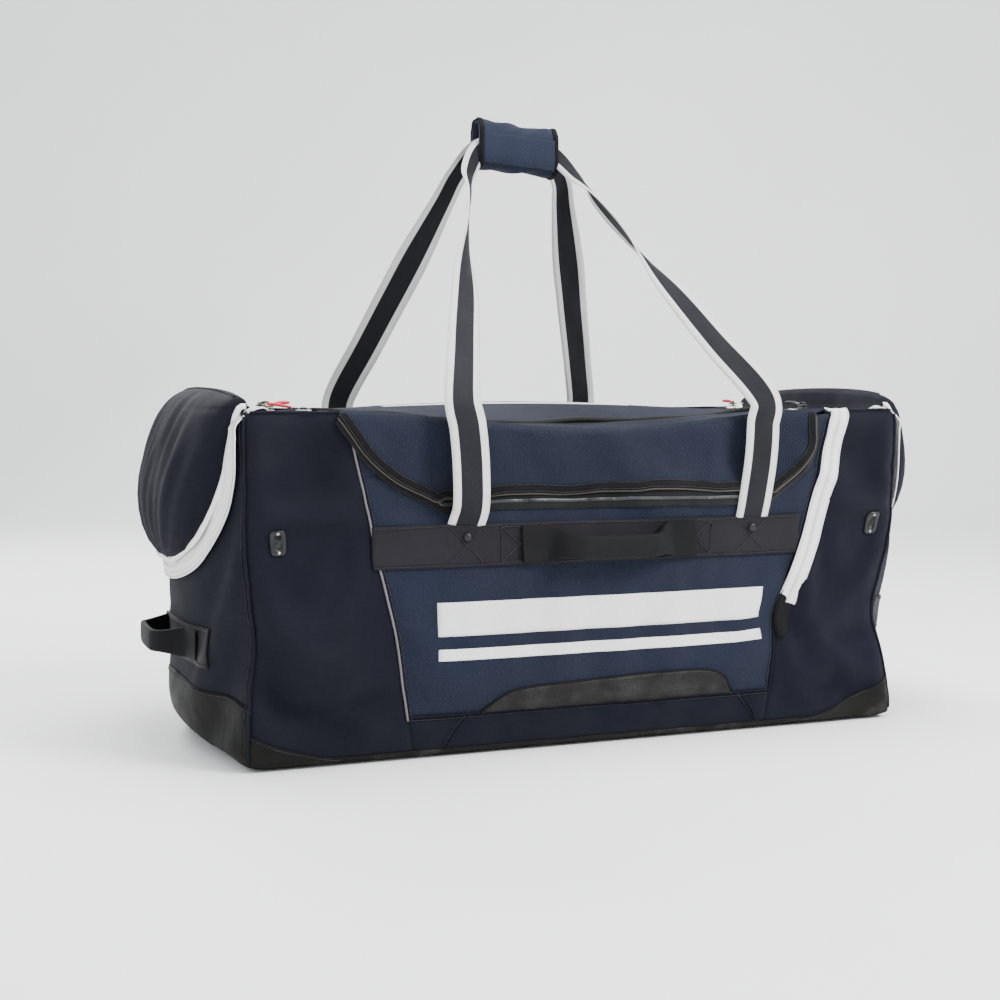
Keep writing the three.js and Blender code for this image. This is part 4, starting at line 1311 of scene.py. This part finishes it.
def carry_strap(name, anchors, side, node, twist):
    """One continuous strap: up from its left anchor, through the grip, and down to its right anchor."""
    left, right = anchors
    grip_y = side * 0.0075
    inside = [(GRIP_LEFT + 0.010, grip_y, GRIP_Z, 0),
              (mix(GRIP_LEFT, GRIP_RIGHT, 0.5), grip_y, GRIP_Z, 0), (GRIP_RIGHT - 0.010, grip_y, GRIP_Z, 0)]
    up = strap_leg(left, GRIP_LEFT - 0.014, side, twist[0])
    down = strap_leg(right, GRIP_RIGHT + 0.014, side, -twist[1])[::-1]
    run = catmull(up + inside + down, 420)
    path, turn = run[:, :3], np.radians(run[:, 3])
    tangent = unit(np.gradient(path, axis=0))
    flat = unit(np.cross(tangent, np.cross((0, side, 0), tangent)))
    normals = flat * np.cos(turn)[:, None] + np.cross(tangent, flat) * np.sin(turn)[:, None]
    height = smooth(path[:, 2], 0.66, 0.80)
    wide = WEBBING / 2 * mix(1.0, 0.60, height)
    share = np.linspace(-1, 1, 9)
    cup = mix(0.0010, 0.0050, height)[:, None] * (1 - share**2)[None, :]
    ripple = 0.0008 * np.sin(path[:, 2] * 60)[:, None] * np.cos(share * 4)[None, :]
    lift = cup + ripple
    top = np.stack([wide[:, None] * share, lift + 0.0010], axis=-1)
    under = np.stack([wide[:, None] * share[::-1], lift[:, ::-1] - 0.0010], axis=-1)
    strap = sweep(name, path, normals, np.concatenate([top, under], axis=1), STRIPED)
    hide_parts(node)
    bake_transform(strap)


def grip_section(share, out=0.0):
    """The sleeve's cross-section at a share of its length: y and z offsets round it."""
    turn = np.linspace(0, 2 * np.pi, 48, endpoint=False)
    c, s = np.cos(turn), np.sin(turn)
    flare = 1 + 0.05 * (2 * share - 1) ** 2 + 0.02 * math.sin(share * 17)
    y = (0.0180 * flare + out) * np.sign(c) * np.abs(c) ** 0.75
    z = (0.0335 * flare + out) * np.sign(s) * np.abs(s) ** 0.62
    dent = 0.0016 * np.sin(turn * 3 + share * 9) * math.sin(share * math.pi)
    dent = dent + 0.0008 * np.sin(turn * 7 + share * 21)
    return y * (1 + dent * 20), z + dent


def grip_middle(share):
    """The height of the sleeve's middle: it falls a little from its left end to its right end."""
    return GRIP_Z + mix(0.006, -0.003, share)


def grip_ring(share, out, inset=0.0, skew=0.0):
    y, z = grip_section(share, out)
    x = np.full_like(y, mix(GRIP_LEFT + inset, GRIP_RIGHT - inset, share))
    return np.stack([x + skew * (z / 0.034) * (0.5 - share), y, grip_middle(share) + z], axis=-1)


def grip_wrap():
    """The padded sleeve that holds both straps together, rolled over at its ends."""
    shares = np.concatenate([[0.0, 0.0], np.linspace(0, 1, 40), [1.0, 1.0]])
    outs = np.concatenate([[-0.0045, -0.0015], np.zeros(40), [-0.0015, -0.0045]])
    rings = [grip_ring(share, out, skew=0.004) for share, out in zip(shares, outs)]
    rings += [grip_ring(share, -0.0052, inset=0.001) for share in np.linspace(1, 0, 12)]
    verts = np.array(rings)
    u = verts[..., 0]
    v = np.broadcast_to(np.linspace(0, 0.17, verts.shape[1]), u.shape)
    wrap = add_object("grip_cushion", verts.reshape(-1, 3), tube_faces(*u.shape, True), WRAP,
                      np.stack([u, v], axis=-1).reshape(-1, 2))
    fix_normals(wrap)
    place(wrap, "front_strap", "grip_wrap", slot="wrap_fabric")


def grip_bindings():
    """The narrow tapes round both ends of the sleeve."""
    for tag, share in (("left", 0.03), ("right", 0.97)):
        ring = grip_ring(share, 0.0006)
        out = unit(ring - ring.mean(0))
        profile = round_profile(0.0040, 0.0012, 8)
        place(sweep(f"grip_{tag}_binding", ring, out, profile, TRIM_TAPE, True), "front_strap")


def grip_flap():
    """The closing flap down the front of the sleeve, held by its stitched edge."""
    shares = np.linspace(0.05, 0.95, 30)
    rows = []
    for share in shares:
        y, z = grip_section(share, 0.0016)
        front = np.flatnonzero((y < 0) & (np.abs(z) < 0.030))
        order = front[np.argsort(-z[front])]
        rise = np.linspace(0.0160, -0.0285, 16)
        x = np.full(16, mix(GRIP_LEFT, GRIP_RIGHT, share))
        rows.append(np.stack([x, np.interp(rise, z[order][::-1], y[order][::-1]),
                              grip_middle(share) + rise], axis=-1))
    grid = np.array(rows).transpose(1, 0, 2)
    flap = cloth("grip_closing_flap", grid, 0.0012, WRAP, (0, 0.1, GRIP_Z))
    place(flap, "wrap_flap", "grip_wrap_flap", slot="wrap_fabric")
    edge = catmull(grid[-2, 1:-1], 40)
    place(stitches("grip_flap_stitches", edge, (0, -1, 0), DARK_THREAD), "wrap_flap")


for name in ("left", "right"):
    end_handle(name)
carry_strap("front_strap_webbing", STRAP_FRONT, -1, "front_carry_strap", (1.3, 1.6))
carry_strap("back_strap_webbing", STRAP_BACK, 1, "back_carry_strap", (-0.6, -0.5))
grip_wrap()
grip_bindings()
grip_flap()


# ---------------------------------------------------------------- zips, sliders and pulls
def vertical_zip(face):
    """The light zip that climbs the front beside the lid and runs back over the top."""
    z = np.linspace(0.182, 0.447, 16)
    low = skin(face, right_seam(z) + 0.0155, z, 0.0022)
    y = np.linspace(-0.224, -0.094, 10)
    x = np.full(10, 0.371)
    top = skin("top", x if face == "front" else -x, y if face == "front" else -y, 0.0026)
    path = catmull(np.vstack([low, top]), 190)
    sign = 1 if face == "front" else -1
    share = smooth(path[:, 2], 0.44, 0.462) * smooth(-np.abs(path[:, 1]), -0.232, -0.216)
    normals = np.stack([path[:, 0] * 0, -sign * (1 - share), share + 0.02], axis=-1)
    _, side, _ = path_frame(path, unit(normals))
    tape = ribbon(f"{face}_vertical_zip_tape", path, normals, 0.029, 0.0016, WHITE_TAPE, 0.0010, 8)
    place(tape, "bag", f"{face}_vertical_zipper", slot="light_zip")
    lifted = path + unit(normals) * 0.0016
    place(teeth(f"{face}_vertical_zip_coil", lifted, normals, COIL, wide=0.0058), "bag")
    for tag, shift in (("outer", 0.0120), ("inner", -0.0120), ("mid_outer", 0.0064), ("mid_inner", -0.0064)):
        row = stitches(f"{face}_vertical_zip_stitches_{tag}", path + side * shift + unit(normals) * 0.0012,
                       normals, WHITE_THREAD)
        place(row, "bag")


GARAGE_RUN = np.array([(0.3105, 0.190), (0.3065, 0.172), (0.3010, 0.150), (0.2975, 0.132)])
GARAGE_OUTLINE = np.array([(-1, -0.5), (-0.6, 0.5), (0, 0.7), (0.6, 0.5), (1, -0.5)])


def zip_garage(face):
    """The dark tab that covers the lower end of the vertical zip and narrows below it."""
    run = skin_run(face, GARAGE_RUN[:, 0], GARAGE_RUN[:, 1], 0.0030, 30)
    half = 0.0165 * (1 - 0.55 * np.linspace(0, 1, 30) ** 3)
    rings = swell(GARAGE_OUTLINE, half, np.full(30, 0.0018))
    place(sweep(f"{face}_zip_garage", *run, rings, TRIM_TAPE), "bag")


def slider(name, spot, forward, up, material):
    """A zip slider: two shoulders and a waist, a plate above, and the bridge that holds its pull."""
    forward = unit(np.asarray(forward, float))
    up = unit(np.asarray(up, float))
    along = np.linspace(-0.0095, 0.0095, 15)
    shoulder = (0.0048 + 0.0014 * np.cos((along / 0.0095 - 0.45) * 2.2))
    parts = []
    for level, thick in ((0.0000, 0.0011), (0.0038, 0.0013)):
        path = np.asarray(spot) + forward * along[:, None] + up * level
        rings = swell(round_profile(1, 1, 12, 0.6), shoulder, np.full(15, thick))
        parts.append(sweep(name, path, up, rings, material))
    post = np.asarray(spot) + up * np.linspace(-0.0005, 0.0040, 4)[:, None] + forward * 0.004
    parts.append(sweep(name, post, forward, round_profile(0.0016, 0.0024, 8), material))
    turn = np.linspace(0, np.pi, 16)
    bridge = np.asarray(spot) + forward * (np.cos(turn) * 0.0068)[:, None]
    bridge = bridge + up * (0.0048 + np.sin(turn) * 0.0034)[:, None]
    across = np.cross(up, forward)
    parts.append(sweep(name, bridge, np.cross(np.gradient(bridge, axis=0), across),
                       round_profile(0.0018, 0.0008, 8), material))
    return joined(name, parts)


def pull(name, spot, direction, up, material, length):
    """A moulded zip pull: a wire link, a waisted tab with grip ridges, and a rounded end."""
    direction = unit(np.asarray(direction, float))
    up = unit(np.asarray(up, float))
    side = np.cross(up, direction)
    spot = np.asarray(spot, float)
    turn = np.linspace(0, 2 * np.pi, 28, endpoint=False)
    loop = spot + direction * (0.0040 + 0.0058 * np.cos(turn))[:, None]
    loop = loop + side * (0.0030 * np.sin(turn))[:, None]
    wire = sweep(name, loop, up, round_profile(0.0007, 0.0007, 8), GREY_METAL, True)
    share = np.linspace(0, 1, 30)
    path = spot + direction * (0.0080 + share * length)[:, None]
    path = path + up * (0.0016 * np.sin(share * 2.2))[:, None]
    half = 0.0038 + 0.0016 * smooth(share, 0.15, 0.5) - 0.0030 * smooth(share, 0.90, 1.0)
    thick = 0.0016 + 0.0006 * (np.sin(share * 46) > 0) * (share > 0.3) * (share < 0.85)
    rings = swell(round_profile(1, 1, 14, 0.6), half, thick)
    tab = sweep(name, path, up, rings, material)
    return joined(name, [wire, tab])


UP = (0, 0, 1)


def main_sliders():
    """The main zip's two sliders, each with its pull laid back along the zip."""
    place(slider("main_left_slider_body", skin("top", -0.385, -0.196, 0.0046), (1, 0, 0), UP, GREY_METAL),
          "main_zip_left", "main_left_slider", slot="dark_hardware")
    place(pull("main_left_pull_tab", skin("top", -0.3935, -0.196, 0.0120), (-1, 0, 0.10), UP, RED, 0.030),
          "main_zip_left_tab", "main_left_pull", slot="red_pull")
    place(slider("main_right_slider_body", skin("top", 0.366, -0.060, 0.0046), (0, -1, 0), UP, GREY_METAL),
          "main_zip_right", "main_right_slider", slot="dark_hardware")
    seat = skin("top", 0.366, -0.052, 0.0110)
    place(pull("main_right_pull_tab", seat, (0.1, 1, 0.1), UP, BLACK_HARD, 0.026), "main_zip_right")


def pocket_sliders():
    """The pocket zips' sliders and red pulls, set slantwise on the top."""
    half = math.sqrt(0.5)
    for end, sign in (("left", 1), ("right", -1)):
        seat = skin("top", -0.425 * sign, -0.172 * sign, 0.0095)
        way = np.array([half * sign, half * sign, 0])
        place(slider(f"{end}_pocket_slider_body", seat, -way, UP, OLIVE_METAL), f"{end}_zip_slider",
              f"{end}_pocket_slider", slot="dark_hardware")
        hook = seat + way * 0.0085 + np.array([0, 0, 0.0072])
        place(pull(f"{end}_pocket_pull_tab", hook, way, UP, RED, 0.032), f"{end}_zip_pull",
              f"{end}_pocket_pull", slot="red_pull")


def vertical_sliders():
    """The vertical zips' sliders, parked on the top, each with its pull behind it."""
    for face, sign in (("front", 1), ("back", -1)):
        seat = skin("top", 0.370 * sign, -0.130 * sign, 0.0075)
        nose = np.array([0, -sign, 0])
        place(slider(f"{face}_vertical_slider_body", seat, nose, UP, BLACK_HARD), f"{face}_zip_slider",
              f"{face}_vertical_slider", slot="dark_hardware")
        hook = seat - nose * 0.008 + np.array([0, 0, 0.0068])
        place(pull(f"{face}_vertical_pull_tab", hook, -nose, UP, BLACK_HARD, 0.028), f"{face}_zip_slider")


# ---------------------------------------------------------------- printed marks, base and lining
MARK_LEFT, MARK_RIGHT, MARK_LOW, MARK_HIGH = -0.228, 0.258, 0.132, 0.206
MARK_BANDS = ((0.42, 1.0), (0.0, 0.20))
TOP_MARK_LOW, TOP_MARK_HIGH, TOP_MARK_SHRINK = 0.060, 0.150, 0.8


def level_band(name, face, x0, x1, low, high):
    """One printed band with level edges and square ends."""
    rows = np.linspace(low, high, 10)[:, None]
    x = mix(x0, x1, np.linspace(0, 1, 60)[None, :]) + 0 * rows
    place(cloth(name, skin(face, x, rows, 0.0006), 0.0004, PRINT), "bag")


def marks():
    """The printed mark: one broad level band over one narrow band, on the front and on the top."""
    for number, (low, high) in enumerate(MARK_BANDS, 1):
        level_band(f"front_mark_{number}", "front", MARK_LEFT, MARK_RIGHT,
                   mix(MARK_LOW, MARK_HIGH, low), mix(MARK_LOW, MARK_HIGH, high))
        level_band(f"top_mark_{number}", "top", -MARK_RIGHT * TOP_MARK_SHRINK, -MARK_LEFT * TOP_MARK_SHRINK,
                   mix(TOP_MARK_LOW, TOP_MARK_HIGH, low), mix(TOP_MARK_LOW, TOP_MARK_HIGH, high))


# side, inner end, sign of x and rise of the coated cloth at each foot corner
CORNER_TARPS = (("left", -0.352, -1, 0.040), ("right", 0.318, 1, 0.056))


def corner_tarps(face):
    """Coated cloth that rises from the base towards the corners of a long side."""
    for tag, inner, sign, tall in CORNER_TARPS:
        share = np.linspace(0, 1, 26)[None, :]
        rows = np.linspace(0, 1, 9)[:, None]
        x = mix(inner, sign * (HALF_LONG - 0.0005), share)
        top = 0.008 + tall * share**1.3
        grid = skin(face, x + 0 * rows, mix(0.002, top, rows), 0.0016)
        place(cloth(f"{face}_{tag}_corner_tarp", grid, 0.0014, TARP), "bag")
        edge = skin_run(face, x[0], (top - 0.003)[0], 0.0017)
        seam_stitches(f"{face}_{tag}_tarp_stitches", edge, 0)


def base():
    """The coated base, its turned-up edge along both long sides, and the board inside."""
    xs = np.linspace(-HALF_LONG, HALF_LONG, 80)[None, :]
    ys = np.linspace(-HALF_WIDE, HALF_WIDE, 40)[:, None]
    place(cloth("base_tarp", skin("bottom", xs, ys, 0.0004), 0.0045, TARP), "bag", "bottom_tray",
          slot="coated_fabric")
    for face in ("front", "back"):
        across = np.linspace(-HALF_LONG, HALF_LONG, 90)[None, :]
        strip = skin(face, across, np.linspace(0.0015, 0.0095, 4)[:, None], 0.0011)
        place(cloth(f"{face}_base_strip", strip, 0.0010, TARP), "bag")
    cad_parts["base_board"].material_slots[0].material = BOARD


def lining():
    """The inner sheets. The front's stops under the mouth; the others reach nearly to the top."""
    heights = np.linspace(0.012, 0.338, 24)[:, None]
    for face, reach, columns, rise in (("front", 0.455, 60, 1), ("back", 0.455, 60, 1.28),
                                       ("left", 0.215, 36, 1.28), ("right", 0.215, 36, 1.28)):
        grid = skin(face, np.linspace(-reach, reach, columns)[None, :], heights * rise, -0.0062)
        place(cloth(f"{face}_lining", grid, 0.0008, LINING), "bag")


for name in ("front", "back"):
    vertical_zip(name)
    zip_garage(name)
    corner_tarps(name)
main_sliders()
pocket_sliders()
vertical_sliders()
marks()
base()
lining()


# ---------------------------------------------------------------- floor, light and the end
FLOOR_DROP = 0.0005  # the floor lies this far under the bag's base
FLOOR_DEPTH, WALL_HEIGHT, COVE_RADIUS = 3.2, 3.0, 0.9


def floor_and_backdrop():
    """A pale floor that curves up into a wall behind the bag, square to the camera."""
    turn = np.linspace(0, np.pi / 2, 14)
    cove = [(FLOOR_DEPTH + COVE_RADIUS * math.sin(t), COVE_RADIUS * (1 - math.cos(t))) for t in turn]
    curve = [(-4.5, 0.0), *cove, (FLOOR_DEPTH + COVE_RADIUS, WALL_HEIGHT)]
    points = np.array([[(x, y, z - FLOOR_DROP) for x in (-6, 0, 6)] for y, z in curve])
    look = Look("pale_floor", (0.93, 0.93, 0.93), 0.85)
    tone = look.blend(look.span(look.noise(1.5, 3), 0.3, 0.7), (0.91, 0.91, 0.91), (0.94, 0.94, 0.94))
    look.finish(tone, 0.85, ((look.noise(40, 3), 0.0004),))
    floor = add_object("floor", points.reshape(-1, 3), grid_faces(len(curve), 3), look.material)
    floor.rotation_euler[2] = -math.radians(CAMERA_TURN)
    fix_normals(floor)


def soft_light(name, spot, aim, power, size):
    lamp = bpy.data.objects.new(name, bpy.data.lights.new(name, "AREA"))
    lamp.data.shape = "RECTANGLE"
    lamp.data.size, lamp.data.size_y = size
    lamp.data.energy = power
    lamp.location = spot
    lamp.rotation_euler = (Vector(aim) - Vector(spot)).to_track_quat("-Z", "Y").to_euler()
    bpy.context.scene.collection.objects.link(lamp)


# name, place, aim, power in watts, and width and height of each lamp
LAMPS = (("key_light", (1.9, -2.3, 2.5), (0.1, 0, 0.25), 190, (1.3, 1.3)),
         ("fill_light", (-2.6, -1.6, 1.5), (0, 0, 0.2), 26, (1.8, 1.8)),
         ("rim_light", (-1.0, 2.6, 2.3), (0, 0, 0.4), 100, (1.6, 1.0)),
         ("top_light", (0.1, 0.0, 3.0), (0, 0, 0), 95, (2.2, 1.6)))
SKY_COLOUR, SKY_STRENGTH = (0.95, 0.97, 1.0, 1), 1.1


def light_the_room():
    floor_and_backdrop()
    for lamp in LAMPS:
        soft_light(*lamp)
    world = bpy.data.worlds.new("room")
    world.use_nodes = True
    sky = world.node_tree.nodes["Background"]
    sky.inputs["Color"].default_value = SKY_COLOUR
    sky.inputs["Strength"].default_value = SKY_STRENGTH
    bpy.context.scene.world = world


light_the_room()
